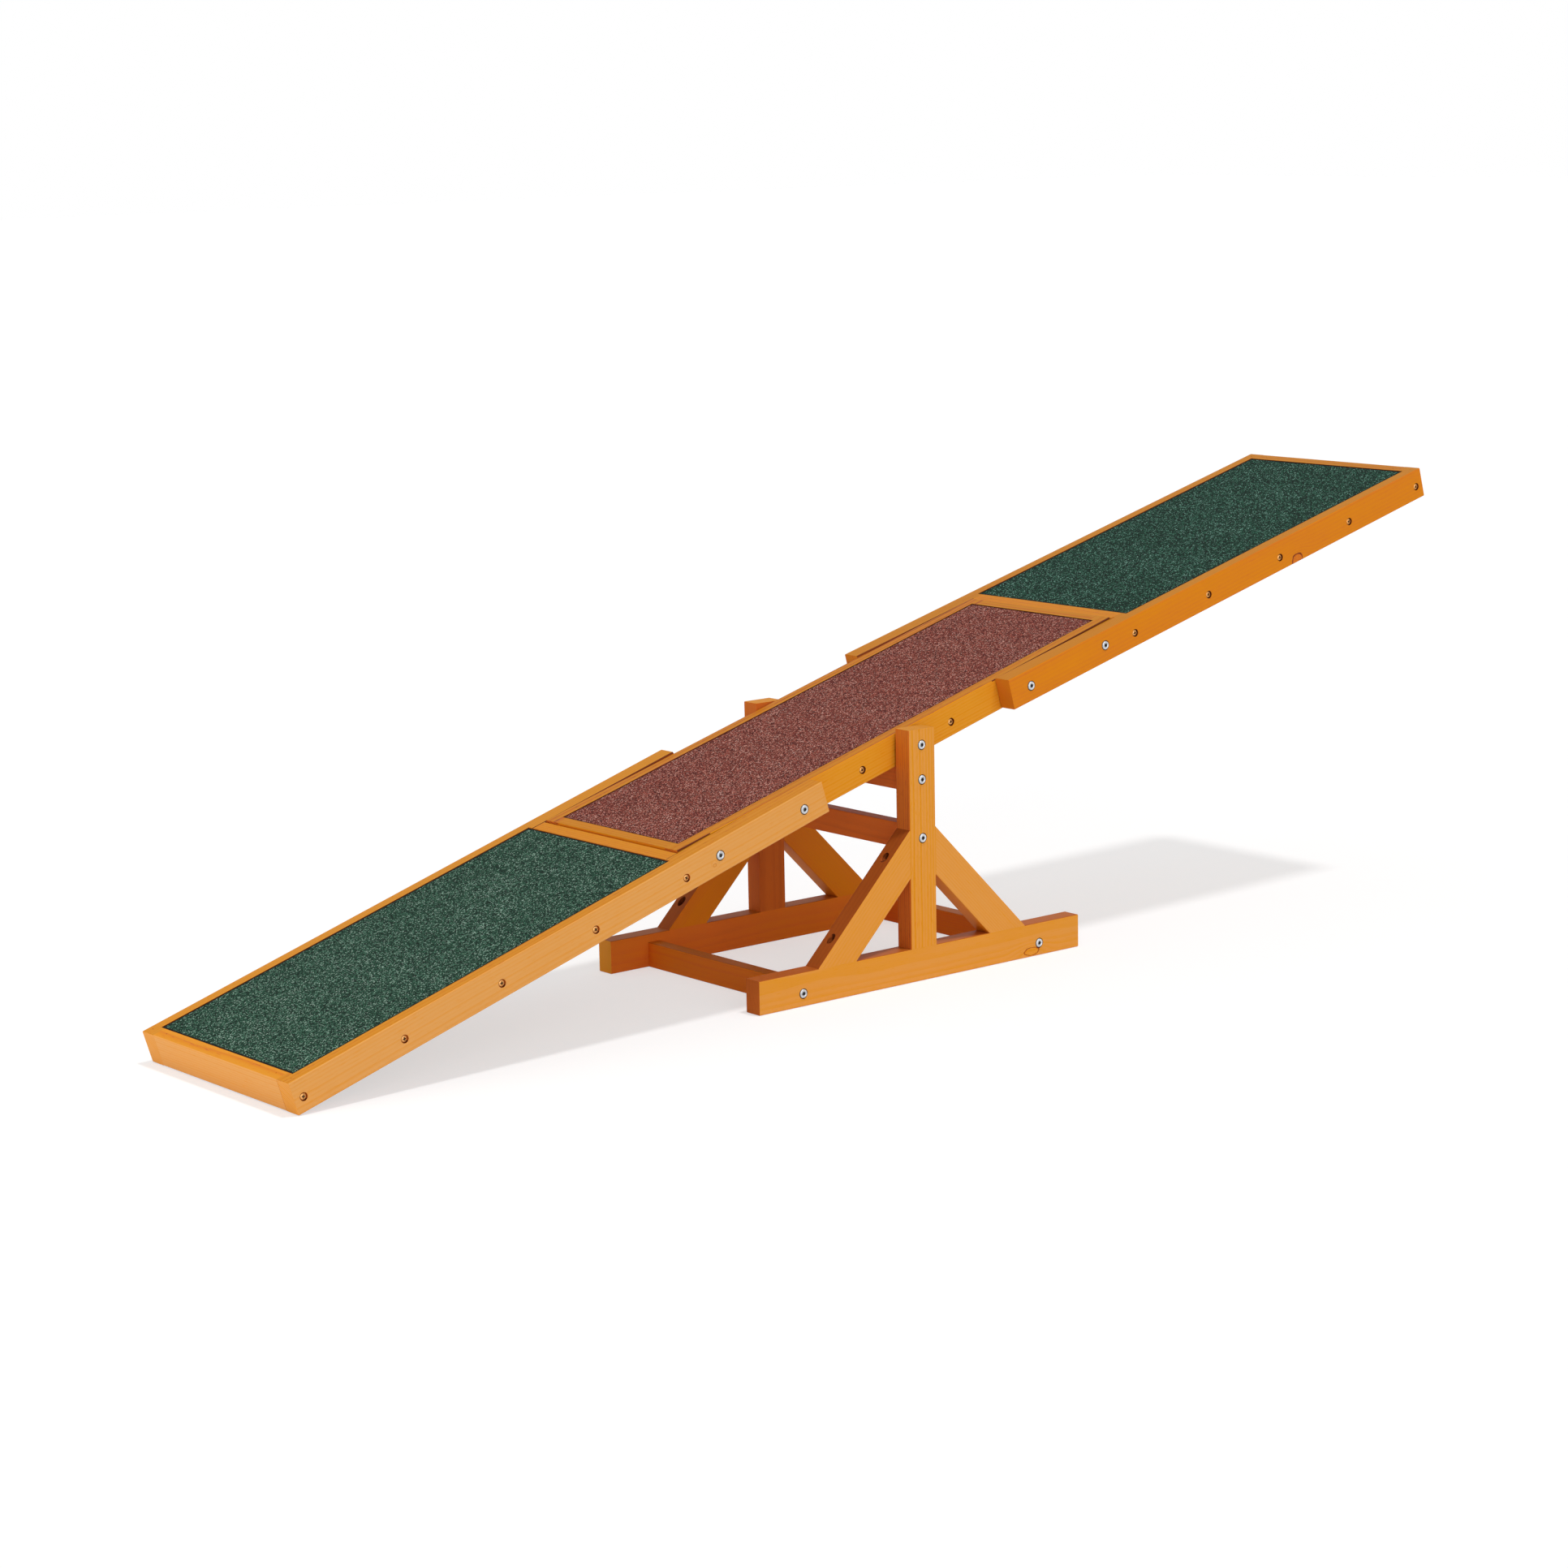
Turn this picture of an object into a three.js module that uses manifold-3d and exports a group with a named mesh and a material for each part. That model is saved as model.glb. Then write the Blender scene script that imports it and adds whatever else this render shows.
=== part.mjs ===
// Wooden agility seesaw: a plank of three sections that tilts on a trestle.
// Millimetres and degrees. X runs along the plank towards its raised end, Y away from the front,
// Z up. The origin is on the floor under the pivot.
import * as THREE from "three";
import { mergeVertices } from "three/addons/utils/BufferGeometryUtils.js";
import Module from "manifold-3d";

const wasm = await Module();
wasm.setup();

// Plank: a middle section, and an end section lapped and bolted on at each end
const plankLength = 1810;
const plankWidth = 300;
const middleLength = 700;
const lapLength = 199;
const seamGap = 1.5;
const lapClearance = 0.4;
const railHeight = 38;
const railThick = 24;
const railTopOverPivot = 17;
const jointSag = 1;

// Bars across the plank, and the bare strips of wood that frame the mats
const barThick = 24;
const battenWidth = 24;
const battenHeight = 24;
const battensPerEndSection = 3;
const innerBattenFromPivot = 72;
const outerBattenPastLapBolt = 21;
const stripOnRail = 16;
const stripOnEndBar = 16;
const stripOnInnerBar = 18;
const stripOnMiddleBar = 14;

// Board panels with a mat of mineral grit on top
const panelThick = 6;
const matThick = 2.6;
const matRecess = 0.5;
const panelGap = 0.5;
const matGap = 0.8;

// Trestle: two side frames joined by four bars
const trestleLength = 500;
const trestleThick = 24;
const baseRailHeight = 40;
const postWidth = 40;
const postOverPivot = 19;
const pivotHeight = 281;
const pivotGap = 2.9;
const braceWidth = 41;
const braceReach = 162;
const braceAngle = 45;
const groundBarFromEnd = 65;
const crossBarThick = 18;
const crossBarHeight = 30;
const crossBarSpacing = 69.5;
const crossBarClearance = 1.6;

// Bolts with flat heads and a hexagon socket
const boltRadius = 3;
const boltHeadRadius = 5.4;
const boltHeadHeight = 4;
const boltHeadChamfer = 0.7;
const boltTipChamfer = 1;
const socketAcrossFlats = 4;
const socketDepth = 2.5;
const counterboreRadius = 6;
const counterboreDepth = 3.5;
const frameBoltLength = 60;
const nutAcrossFlats = 10;
const nutHeight = 5;
const washerRadius = 6;
const washerThick = 1.2;
const boltTailLength = 2;
const spacerRadius = 9;
const lapBoltFromRailEnd = 33;
const lapBoltFromMiddleEnd = 38;

// Recesses for the cross-head screws
const screwRecessRadius = 4.75;
const screwRecessDepth = 3;
const pocketRadius = 5;
const pocketFloor = 14;

// Fits and edges
const seat = 0.3;
const boreClearance = 0.4;
const floorGap = 0.3;
const cornerRadius = 1.2;
const easeDepth = 0.8;
const overrun = 3;

// How finely round things are faceted
const roundSides = 12;
const washerSides = 16;
const hexSides = 6;
const cornerSteps = 1;
const easeSteps = 1;
const mergeTolerance = 0.001;

const halfTurn = Math.PI;
const quarterTurn = Math.PI / 2;

// Plank sizes that follow, with u along the plank from the pivot and v square to it
const halfLength = plankLength / 2;
const halfMiddle = middleLength / 2;
const lapEnd = halfMiddle - lapLength;
const lapCentre = (lapEnd + halfMiddle) / 2;
const innerBarStart = halfMiddle + seamGap;
const railOutside = plankWidth / 2;
const railInside = railOutside - railThick;
const middleOutside = railInside - lapClearance;
const middleInside = middleOutside - railThick;
const railUnderPivot = railHeight - railTopOverPivot;
const railMid = railTopOverPivot - railHeight / 2;
const rebateDepth = panelThick + matThick + matRecess + 2 * seat;
const rebateFloor = railTopOverPivot - rebateDepth;
const battenMid = rebateFloor - battenHeight / 2;
const sag = THREE.MathUtils.degToRad(jointSag);

// The plank rests with the lower corner of its left end on the floor
const endCorner = new THREE.Vector2(halfLength - lapCentre, railUnderPivot);
const endCornerAlong = lapCentre + endCorner.x * Math.cos(sag) - endCorner.y * Math.sin(sag);
const endCornerUnder = endCorner.x * Math.sin(sag) + endCorner.y * Math.cos(sag);
const endCornerReach = Math.hypot(endCornerAlong, endCornerUnder);
const restTilt =
  Math.asin((pivotHeight - floorGap) / endCornerReach) - Math.atan2(endCornerUnder, endCornerAlong);

// Trestle sizes that follow
const postInside = middleOutside + pivotGap;
const postOutside = postInside + trestleThick;
const halfTrestle = trestleLength / 2;
const groundBarX = halfTrestle - groundBarFromEnd;
const crossBarTop =
  pivotHeight -
  railUnderPivot / Math.cos(restTilt) -
  (crossBarThick / 2) * Math.tan(restTilt) -
  crossBarClearance;
const highCrossBarZ = crossBarTop - crossBarHeight / 2;
const lowCrossBarZ = highCrossBarZ - crossBarSpacing;

// Finishes
const pine = new THREE.MeshStandardMaterial({ color: 0xd38a34, roughness: 0.55, metalness: 0 });
const board = new THREE.MeshStandardMaterial({ color: 0xb98a52, roughness: 0.8, metalness: 0 });
const greenGrit = new THREE.MeshStandardMaterial({ color: 0x3a5c4e, roughness: 0.95, metalness: 0 });
const redGrit = new THREE.MeshStandardMaterial({ color: 0x7d4642, roughness: 0.95, metalness: 0 });
const zinc = new THREE.MeshStandardMaterial({ color: 0xb9bdc1, roughness: 0.35, metalness: 0.9 });

// A closed mesh as a solid that can be cut and joined
function toSolid(geometry) {
  const bare = geometry.clone();
  bare.deleteAttribute("normal");
  bare.deleteAttribute("uv");
  const merged = mergeVertices(bare, mergeTolerance);
  const corners = [];
  for (let i = 0; i < merged.index.count; i += 3) {
    const [a, b, c] = [0, 1, 2].map((k) => merged.index.getX(i + k));
    if (a !== b && b !== c && c !== a) corners.push(a, b, c);
  }
  const vertProperties = new Float32Array(merged.attributes.position.array);
  const triVerts = new Uint32Array(corners);
  return new wasm.Manifold(new wasm.Mesh({ numProp: 3, vertProperties, triVerts }));
}

// A solid back as a flat-shaded geometry
function toGeometry(solid) {
  const cut = solid.getMesh();
  const geometry = new THREE.BufferGeometry();
  geometry.setAttribute("position", new THREE.BufferAttribute(cut.vertProperties, 3));
  geometry.setIndex(new THREE.BufferAttribute(cut.triVerts, 1));
  const flat = geometry.toNonIndexed();
  flat.computeVertexNormals();
  return flat;
}

function addPiece(group, name, geometry, finish, x, y, z) {
  const mesh = new THREE.Mesh(geometry, finish);
  mesh.name = name;
  mesh.position.set(x, y, z);
  group.add(mesh);
  return mesh;
}

// Cuts a piece by solids that are given in the frame of the whole part
function carve(mesh, cutters) {
  mesh.updateWorldMatrix(true, false);
  const intoPiece = mesh.matrixWorld.clone().invert();
  let solid = toSolid(mesh.geometry);
  for (const cutter of cutters) solid = solid.subtract(toSolid(cutter.clone().applyMatrix4(intoPiece)));
  mesh.geometry = toGeometry(solid);
}

// A cutter that is shaped in a mesh's own frame, brought to the frame of the whole part
function cutterAt(mesh, geometry) {
  mesh.updateWorldMatrix(true, false);
  return geometry.clone().applyMatrix4(mesh.matrixWorld);
}

// A rectangle with rounded corners, centred, in the plane that an extrusion starts from
function roundedRectangle(long, tall) {
  const x = long / 2 - cornerRadius;
  const y = tall / 2 - cornerRadius;
  const shape = new THREE.Shape();
  shape.absarc(x, y, cornerRadius, 0, quarterTurn);
  shape.absarc(-x, y, cornerRadius, quarterTurn, halfTurn);
  shape.absarc(-x, -y, cornerRadius, halfTurn, halfTurn + quarterTurn);
  shape.absarc(x, -y, cornerRadius, halfTurn + quarterTurn, 2 * halfTurn);
  return shape;
}

// Planed lumber cut to an outline in X and Z, with its thickness along Y and its edges eased
function plane(outline, thick) {
  const geometry = new THREE.ExtrudeGeometry(outline, {
    depth: thick - 2 * easeDepth,
    curveSegments: cornerSteps,
    bevelEnabled: true,
    bevelThickness: easeDepth,
    bevelSize: easeDepth,
    bevelOffset: -easeDepth,
    bevelSegments: easeSteps,
  });
  geometry.translate(0, 0, easeDepth - thick / 2);
  return geometry.rotateX(quarterTurn);
}

function beam(long, tall, thick) {
  return plane(roundedRectangle(long, tall), thick);
}

// A beam that lies across, along Y
function crossBeam(group, name, long, tall, thick, x, z) {
  const mesh = addPiece(group, name, beam(long, tall, thick), pine, x, 0, z);
  mesh.rotation.z = quarterTurn;
  return mesh;
}

function turned(profile, sides) {
  return new THREE.LatheGeometry(
    profile.map(([radius, along]) => new THREE.Vector2(radius, along)),
    sides,
  );
}

function hexPrism(acrossFlats, height) {
  const radius = acrossFlats / 2 / Math.cos(halfTurn / hexSides);
  return new THREE.CylinderGeometry(radius, radius, height, hexSides);
}

// A bolt along +Y, with the underside of its head at zero
function boltGeometry(length, grip) {
  const profile = [
    [0, -boltHeadHeight],
    [boltHeadRadius - boltHeadChamfer, -boltHeadHeight],
    [boltHeadRadius, boltHeadChamfer - boltHeadHeight],
    [boltHeadRadius, 0],
    [boltRadius, 0],
  ];
  if (grip > 0) {
    profile.push([boltRadius, grip], [washerRadius, grip]);
    profile.push([washerRadius, grip + washerThick], [boltRadius, grip + washerThick]);
  }
  profile.push([boltRadius, length - boltTipChamfer]);
  profile.push([boltRadius - boltTipChamfer, length], [0, length]);
  const socket = hexPrism(socketAcrossFlats, 2 * socketDepth).translate(0, -boltHeadHeight, 0);
  let bolt = toSolid(turned(profile, roundSides)).subtract(toSolid(socket));
  if (grip > 0) {
    const nut = hexPrism(nutAcrossFlats, nutHeight);
    nut.translate(0, grip + washerThick + nutHeight / 2, 0);
    bolt = bolt.add(toSolid(nut));
  }
  return toGeometry(bolt);
}

// The counterbore and the hole that a bolt needs, in the bolt's own frame
function boltHole(depth) {
  const profile = [
    [0, -counterboreDepth - overrun],
    [counterboreRadius, -counterboreDepth - overrun],
    [counterboreRadius, seat],
    [boltRadius + boreClearance, seat],
    [boltRadius + boreClearance, depth],
    [0, depth],
  ];
  return turned(profile, roundSides);
}

// Adds a bolt whose counterbore is in the outer face of a side, and the hole that it needs.
// Side is -1 at the front, where the bolt points along +Y, and 1 at the back.
function addBolt(group, name, x, z, side, outside, length, grip, holes, holeDepth) {
  const y = side * (outside - counterboreDepth + seat);
  const bolt = addPiece(group, name, boltGeometry(length, grip), zinc, x, y, z);
  if (side > 0) bolt.rotation.z = halfTurn;
  holes.push(cutterAt(bolt, boltHole(holeDepth)));
  return bolt;
}

// The recess for a screw head in an outer face, at a place in its group's frame
function screwRecess(group, x, side, outside, z) {
  const depth = screwRecessDepth + overrun;
  const recess = new THREE.CylinderGeometry(screwRecessRadius, screwRecessRadius, depth, roundSides);
  recess.translate(x, side * (outside - screwRecessDepth + depth / 2), z);
  return cutterAt(group, recess);
}

const seesaw = new THREE.Group();
const trestle = new THREE.Group();
const plank = new THREE.Group();
plank.position.z = pivotHeight;
seesaw.add(trestle, plank);

const sides = [
  { name: "front", sign: -1 },
  { name: "back", sign: 1 },
];
const ends = [
  { name: "left", sign: -1 },
  { name: "right", sign: 1 },
];

// Trestle lumber
const trestleHoles = [];
const trestleLumber = [];

function braceOutline() {
  const slope = Math.tan(THREE.MathUtils.degToRad(braceAngle));
  const cut = braceWidth / Math.sin(THREE.MathUtils.degToRad(braceAngle));
  const postSide = postWidth / 2 + seat;
  const railTop = baseRailHeight + seat;
  const outerX = braceReach - seat / slope;
  const outerZ = baseRailHeight + (braceReach - postSide) * slope;
  return new THREE.Shape([
    new THREE.Vector2(outerX, railTop),
    new THREE.Vector2(postSide, outerZ),
    new THREE.Vector2(postSide, outerZ - cut * slope),
    new THREE.Vector2(outerX - cut, railTop),
  ]);
}

// Two pockets in a brace's outer edge: one straight down over the rail, one level at the post
function bracePockets() {
  const slope = Math.tan(THREE.MathUtils.degToRad(braceAngle));
  const halfCut = braceWidth / Math.sin(THREE.MathUtils.degToRad(braceAngle)) / 2;
  const reach = braceWidth + overrun;
  const down = new THREE.CylinderGeometry(pocketRadius, pocketRadius, reach, roundSides);
  down.translate(braceReach - halfCut, 0, 0);
  down.rotateX(quarterTurn);
  down.translate(0, 0, baseRailHeight + pocketFloor + reach / 2);
  const level = new THREE.CylinderGeometry(pocketRadius, pocketRadius, reach, roundSides);
  level.rotateZ(quarterTurn);
  const middleZ = baseRailHeight + (braceReach - postWidth / 2 - halfCut) * slope;
  level.translate(postWidth / 2 + pocketFloor + reach / 2, 0, middleZ);
  return [down, level];
}

for (const side of sides) {
  const y = side.sign * (postInside + trestleThick / 2);
  const rail = beam(trestleLength, baseRailHeight, trestleThick);
  const railName = side.name + "_base_rail";
  trestleLumber.push(addPiece(trestle, railName, rail, pine, 0, y, baseRailHeight / 2));

  const postFoot = baseRailHeight + seat;
  const postHeight = pivotHeight + postOverPivot - postFoot;
  const post = beam(postWidth, postHeight, trestleThick);
  const postName = side.name + "_post";
  trestleLumber.push(addPiece(trestle, postName, post, pine, 0, y, postFoot + postHeight / 2));

  for (const end of ends) {
    const name = side.name + "_" + end.name + "_brace";
    const brace = addPiece(trestle, name, plane(braceOutline(), trestleThick), pine, 0, y, 0);
    if (end.sign < 0) brace.rotation.z = halfTurn;
    trestleHoles.push(...bracePockets().map((pocket) => cutterAt(brace, pocket)));
    trestleLumber.push(brace);
  }
}

const barLength = 2 * (postInside - seat);
const trestleBars = [
  { name: "left_ground_bar", x: -groundBarX, z: crossBarHeight / 2 },
  { name: "right_ground_bar", x: groundBarX, z: crossBarHeight / 2 },
  { name: "low_cross_bar", x: 0, z: lowCrossBarZ },
  { name: "high_cross_bar", x: 0, z: highCrossBarZ },
];
for (const bar of trestleBars) {
  const { name, x, z } = bar;
  trestleLumber.push(crossBeam(trestle, name, barLength, crossBarHeight, crossBarThick, x, z));
  for (const side of sides) {
    const boltName = side.name + "_" + name + "_bolt";
    const depth = frameBoltLength + overrun;
    const holes = trestleHoles;
    addBolt(trestle, boltName, x, z, side.sign, postOutside, frameBoltLength, 0, holes, depth);
  }
}

// Pivot: a bolt through post, spacer and plank rail on each side, with its nut inside the plank
const pivotGrip = postOutside - counterboreDepth + seat - middleInside + seat;
const pivotLength = pivotGrip + washerThick + nutHeight + boltTailLength;
const pivotHoles = [];
for (const side of sides) {
  const name = side.name + "_pivot_bolt";
  const sign = side.sign;
  const depth = pivotGrip + overrun;
  addBolt(trestle, name, 0, pivotHeight, sign, postOutside, pivotLength, pivotGrip, pivotHoles, depth);

  const bore = boltRadius + boreClearance;
  const thick = pivotGap - 2 * seat;
  const ring = turned(
    [
      [bore, -thick / 2],
      [spacerRadius, -thick / 2],
      [spacerRadius, thick / 2],
      [bore, thick / 2],
      [bore, -thick / 2],
    ],
    washerSides,
  );
  const y = sign * (middleOutside + pivotGap / 2);
  addPiece(trestle, side.name + "_pivot_spacer", ring, zinc, 0, y, pivotHeight);
}
for (const piece of trestleLumber) carve(piece, [...trestleHoles, ...pivotHoles]);

// A panel and its mat in the rebate of a section, and the cutter for that rebate
function addDeck(group, name, from, to, halfWidth, grit) {
  const long = to - from;
  const wide = 2 * halfWidth;
  const x = (from + to) / 2;
  const panel = new THREE.BoxGeometry(long - 2 * panelGap, wide - 2 * panelGap, panelThick);
  const panelZ = rebateFloor + seat + panelThick / 2;
  addPiece(group, name + "_panel", panel, board, x, 0, panelZ);
  const mat = new THREE.BoxGeometry(long - 2 * matGap, wide - 2 * matGap, matThick);
  const matZ = railTopOverPivot - matRecess - matThick / 2;
  addPiece(group, name + "_grit_mat", mat, grit, x, 0, matZ);
  const rebate = new THREE.BoxGeometry(long, wide, rebateDepth + overrun);
  rebate.translate(x, 0, rebateFloor + (rebateDepth + overrun) / 2);
  return cutterAt(group, rebate);
}

// Middle section
const middle = new THREE.Group();
plank.add(middle);
const middleFraming = [];
const middleCutters = [...pivotHoles];
for (const side of sides) {
  const y = side.sign * (middleInside + railThick / 2);
  const rail = beam(middleLength, railHeight, railThick);
  const name = "middle_" + side.name + "_rail";
  middleFraming.push(addPiece(middle, name, rail, pine, 0, y, railMid));
}
const middleBarLength = 2 * (middleInside - seat);
const middleBarU = halfMiddle - barThick / 2;
const innerLapBoltU = lapEnd + lapBoltFromRailEnd;
const outerLapBoltU = halfMiddle - lapBoltFromMiddleEnd;
const middleRows = [middleBarU, innerLapBoltU + outerBattenPastLapBolt, innerBattenFromPivot];
for (const end of ends) {
  middleRows.forEach((row, i) => {
    const u = end.sign * row;
    const label = "middle_" + end.name;
    if (i === 0) {
      const name = label + "_end_bar";
      middleFraming.push(crossBeam(middle, name, middleBarLength, railHeight, barThick, u, railMid));
    } else {
      const name = label + "_batten_" + i;
      crossBeam(middle, name, middleBarLength, battenHeight, battenWidth, u, battenMid);
    }
    for (const side of sides) {
      middleCutters.push(screwRecess(middle, u, side.sign, middleOutside, battenMid));
    }
  });
}
const middleDeckEnd = halfMiddle - stripOnMiddleBar;
const middleDeckHalf = middleOutside - stripOnRail;
middleCutters.push(addDeck(middle, "middle", -middleDeckEnd, middleDeckEnd, middleDeckHalf, redGrit));

// Lap bolts, in the middle section's frame, with washer and nut inside its rails
const lapGrip = railOutside - counterboreDepth + seat - middleInside + seat;
const lapBoltLength = lapGrip + washerThick + nutHeight + boltTailLength;
const lapHoles = [];
for (const end of ends) {
  const rows = { inner: innerLapBoltU, outer: outerLapBoltU };
  for (const side of sides) {
    for (const [row, u] of Object.entries(rows)) {
      const name = [side.name, end.name, row, "lap_bolt"].join("_");
      const at = end.sign * u;
      const depth = lapGrip + overrun;
      addBolt(middle, name, at, railMid, side.sign, railOutside, lapBoltLength, lapGrip, lapHoles, depth);
    }
  }
}
for (const piece of middleFraming) carve(piece, [...middleCutters, ...lapHoles]);

// End sections, built outwards from the middle of the lap, which is where they sag about
for (const end of ends) {
  const section = new THREE.Group();
  section.position.x = end.sign * lapCentre;
  section.rotation.y = end.sign * sag;
  plank.add(section);
  const framing = [];
  const cutters = [...lapHoles];
  const railLength = halfLength - lapEnd;
  const railX = end.sign * ((halfLength + lapEnd) / 2 - lapCentre);
  for (const side of sides) {
    const y = side.sign * (railInside + railThick / 2);
    const rail = beam(railLength, railHeight, railThick);
    const name = end.name + "_" + side.name + "_rail";
    framing.push(addPiece(section, name, rail, pine, railX, y, railMid));
  }

  const length = 2 * (railInside - seat);
  const innerBarX = innerBarStart + barThick / 2 - lapCentre;
  const endBarX = halfLength - barThick / 2 - lapCentre;
  const pitch = (endBarX - innerBarX) / (battensPerEndSection + 1);
  for (let i = 0; i <= battensPerEndSection + 1; i += 1) {
    const x = end.sign * (innerBarX + i * pitch);
    if (i === 0) {
      const name = end.name + "_inner_bar";
      framing.push(crossBeam(section, name, length, railHeight, barThick, x, railMid));
    } else if (i > battensPerEndSection) {
      const name = end.name + "_end_bar";
      framing.push(crossBeam(section, name, length, railHeight, barThick, x, railMid));
    } else {
      const name = end.name + "_batten_" + i;
      crossBeam(section, name, length, battenHeight, battenWidth, x, battenMid);
    }
    for (const side of sides) {
      cutters.push(screwRecess(section, x, side.sign, railOutside, battenMid));
    }
  }

  const near = innerBarStart + stripOnInnerBar - lapCentre;
  const far = halfLength - stripOnEndBar - lapCentre;
  const [from, to] = end.sign > 0 ? [near, far] : [-far, -near];
  cutters.push(addDeck(section, end.name, from, to, railOutside - stripOnRail, greenGrit));
  for (const piece of framing) carve(piece, cutters);
}

// The plank is cut level, in line with its bolts, and then laid in its rest position
plank.rotation.y = -restTilt;

export default seesaw;
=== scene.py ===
# %% [markdown]
# # A wooden agility seesaw
# A plank of three framed sections tilts on a low trestle. The frames are planed pine with an
# orange stain and a satin varnish, the decks are plywood with a mat of mineral grit, and every
# joint is bolted or screwed. The CAD model gives each piece its place, so nothing is fitted here:
# each piece is measured from the CAD, modelled again with the edges, holes and fastenings that a
# joiner would give it, and then finished.

# %% Load the CAD model as a fixed frame
import math
import random
from contextlib import contextmanager
import bmesh
import bpy
from mathutils import Matrix, Vector


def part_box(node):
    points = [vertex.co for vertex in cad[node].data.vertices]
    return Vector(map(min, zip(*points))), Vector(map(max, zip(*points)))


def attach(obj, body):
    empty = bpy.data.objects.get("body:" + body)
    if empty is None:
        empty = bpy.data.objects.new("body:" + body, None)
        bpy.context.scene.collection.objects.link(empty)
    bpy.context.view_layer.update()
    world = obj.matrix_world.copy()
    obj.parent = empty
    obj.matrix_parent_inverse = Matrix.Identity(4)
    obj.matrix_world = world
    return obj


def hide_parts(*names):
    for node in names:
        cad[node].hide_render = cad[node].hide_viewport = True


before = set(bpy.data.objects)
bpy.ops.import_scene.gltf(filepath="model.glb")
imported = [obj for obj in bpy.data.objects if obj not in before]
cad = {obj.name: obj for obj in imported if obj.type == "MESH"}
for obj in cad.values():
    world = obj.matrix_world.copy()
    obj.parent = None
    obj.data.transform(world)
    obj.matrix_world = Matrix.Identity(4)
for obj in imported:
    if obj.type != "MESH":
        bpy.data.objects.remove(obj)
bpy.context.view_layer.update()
bpy.ops.object.select_all(action="DESELECT")
print("CAD pieces:", len(cad))

# %% [markdown]
# Plans for wooden things are drawn in millimetres and Blender works in metres, so sizes below are
# written as a number of millimetres times mm. X runs along the plank, Y away from the front, Z up.

# %% Units and the pivot
mm = 0.001

# %% [markdown]
# ## Camera
# The camera comes first, because it decides which details are worth making. Its place was worked
# out from the known sizes of the seesaw: a long lens of about 85 mm stands 4.4 m away, low and to
# the left, and is rolled by a degree. The camera looks down its own -Z, so its three axes are
# found first and then written into a matrix as columns.

# %% Camera
sensor_width = 36
focal_length = 84.58
camera_azimuth = math.radians(-39.19)
camera_elevation = math.radians(10.54)
camera_roll = math.radians(-1.13)
camera_distance = 4.360
camera_target = Vector((-0.0836, 0, 0.2258))


def add_camera():
    level = math.cos(camera_elevation)
    back = Vector((math.sin(camera_azimuth) * level, -math.cos(camera_azimuth) * level,
                   math.sin(camera_elevation)))
    right = Vector((0, 0, 1)).cross(back).normalized()
    up = back.cross(right)
    rolled_right = right * math.cos(camera_roll) + up * math.sin(camera_roll)
    rolled_up = up * math.cos(camera_roll) - right * math.sin(camera_roll)
    axes = Matrix((rolled_right, rolled_up, back)).transposed().to_4x4()
    bpy.ops.object.camera_add()
    camera = bpy.context.active_object
    camera.matrix_world = Matrix.Translation(camera_target + back * camera_distance) @ axes
    camera.data.sensor_width = sensor_width
    camera.data.lens = focal_length
    camera.data.dof.use_dof = False
    camera.data.clip_end = 100
    bpy.context.scene.camera = camera
    return camera


camera = add_camera()
print("camera stands at", tuple(round(c, 3) for c in camera.location))

# %% [markdown]
# ## Shader maths
# A material is a graph of nodes. Wiring nodes by hand for every sum hides the idea, so a small
# class wraps a socket and lets Python's operators add the Math nodes. Everything else, such as a
# noise or a bump, comes from one method that sets the node up and then feeds its sockets.


# %% A wire that does sums
class Wire:
    """A value that runs from one node to the next. Arithmetic on it adds Math nodes."""

    def __init__(self, finish, socket):
        self.finish = finish
        self.socket = socket

    def __add__(self, other):
        return self.finish.maths("ADD", self, other)

    def __radd__(self, other):
        return self.finish.maths("ADD", other, self)

    def __sub__(self, other):
        return self.finish.maths("SUBTRACT", self, other)

    def __rsub__(self, other):
        return self.finish.maths("SUBTRACT", other, self)

    def __mul__(self, other):
        return self.finish.maths("MULTIPLY", self, other)

    def __rmul__(self, other):
        return self.finish.maths("MULTIPLY", other, self)

    def __truediv__(self, other):
        return self.finish.maths("DIVIDE", self, other)

    def __rtruediv__(self, other):
        return self.finish.maths("DIVIDE", other, self)

    def __pow__(self, other):
        return self.finish.maths("POWER", self, other)

    def out(self, name):
        """Another output of the node that this wire comes from."""
        return Wire(self.finish, self.socket.node.outputs[name])


print("sums on wires ready")


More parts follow.
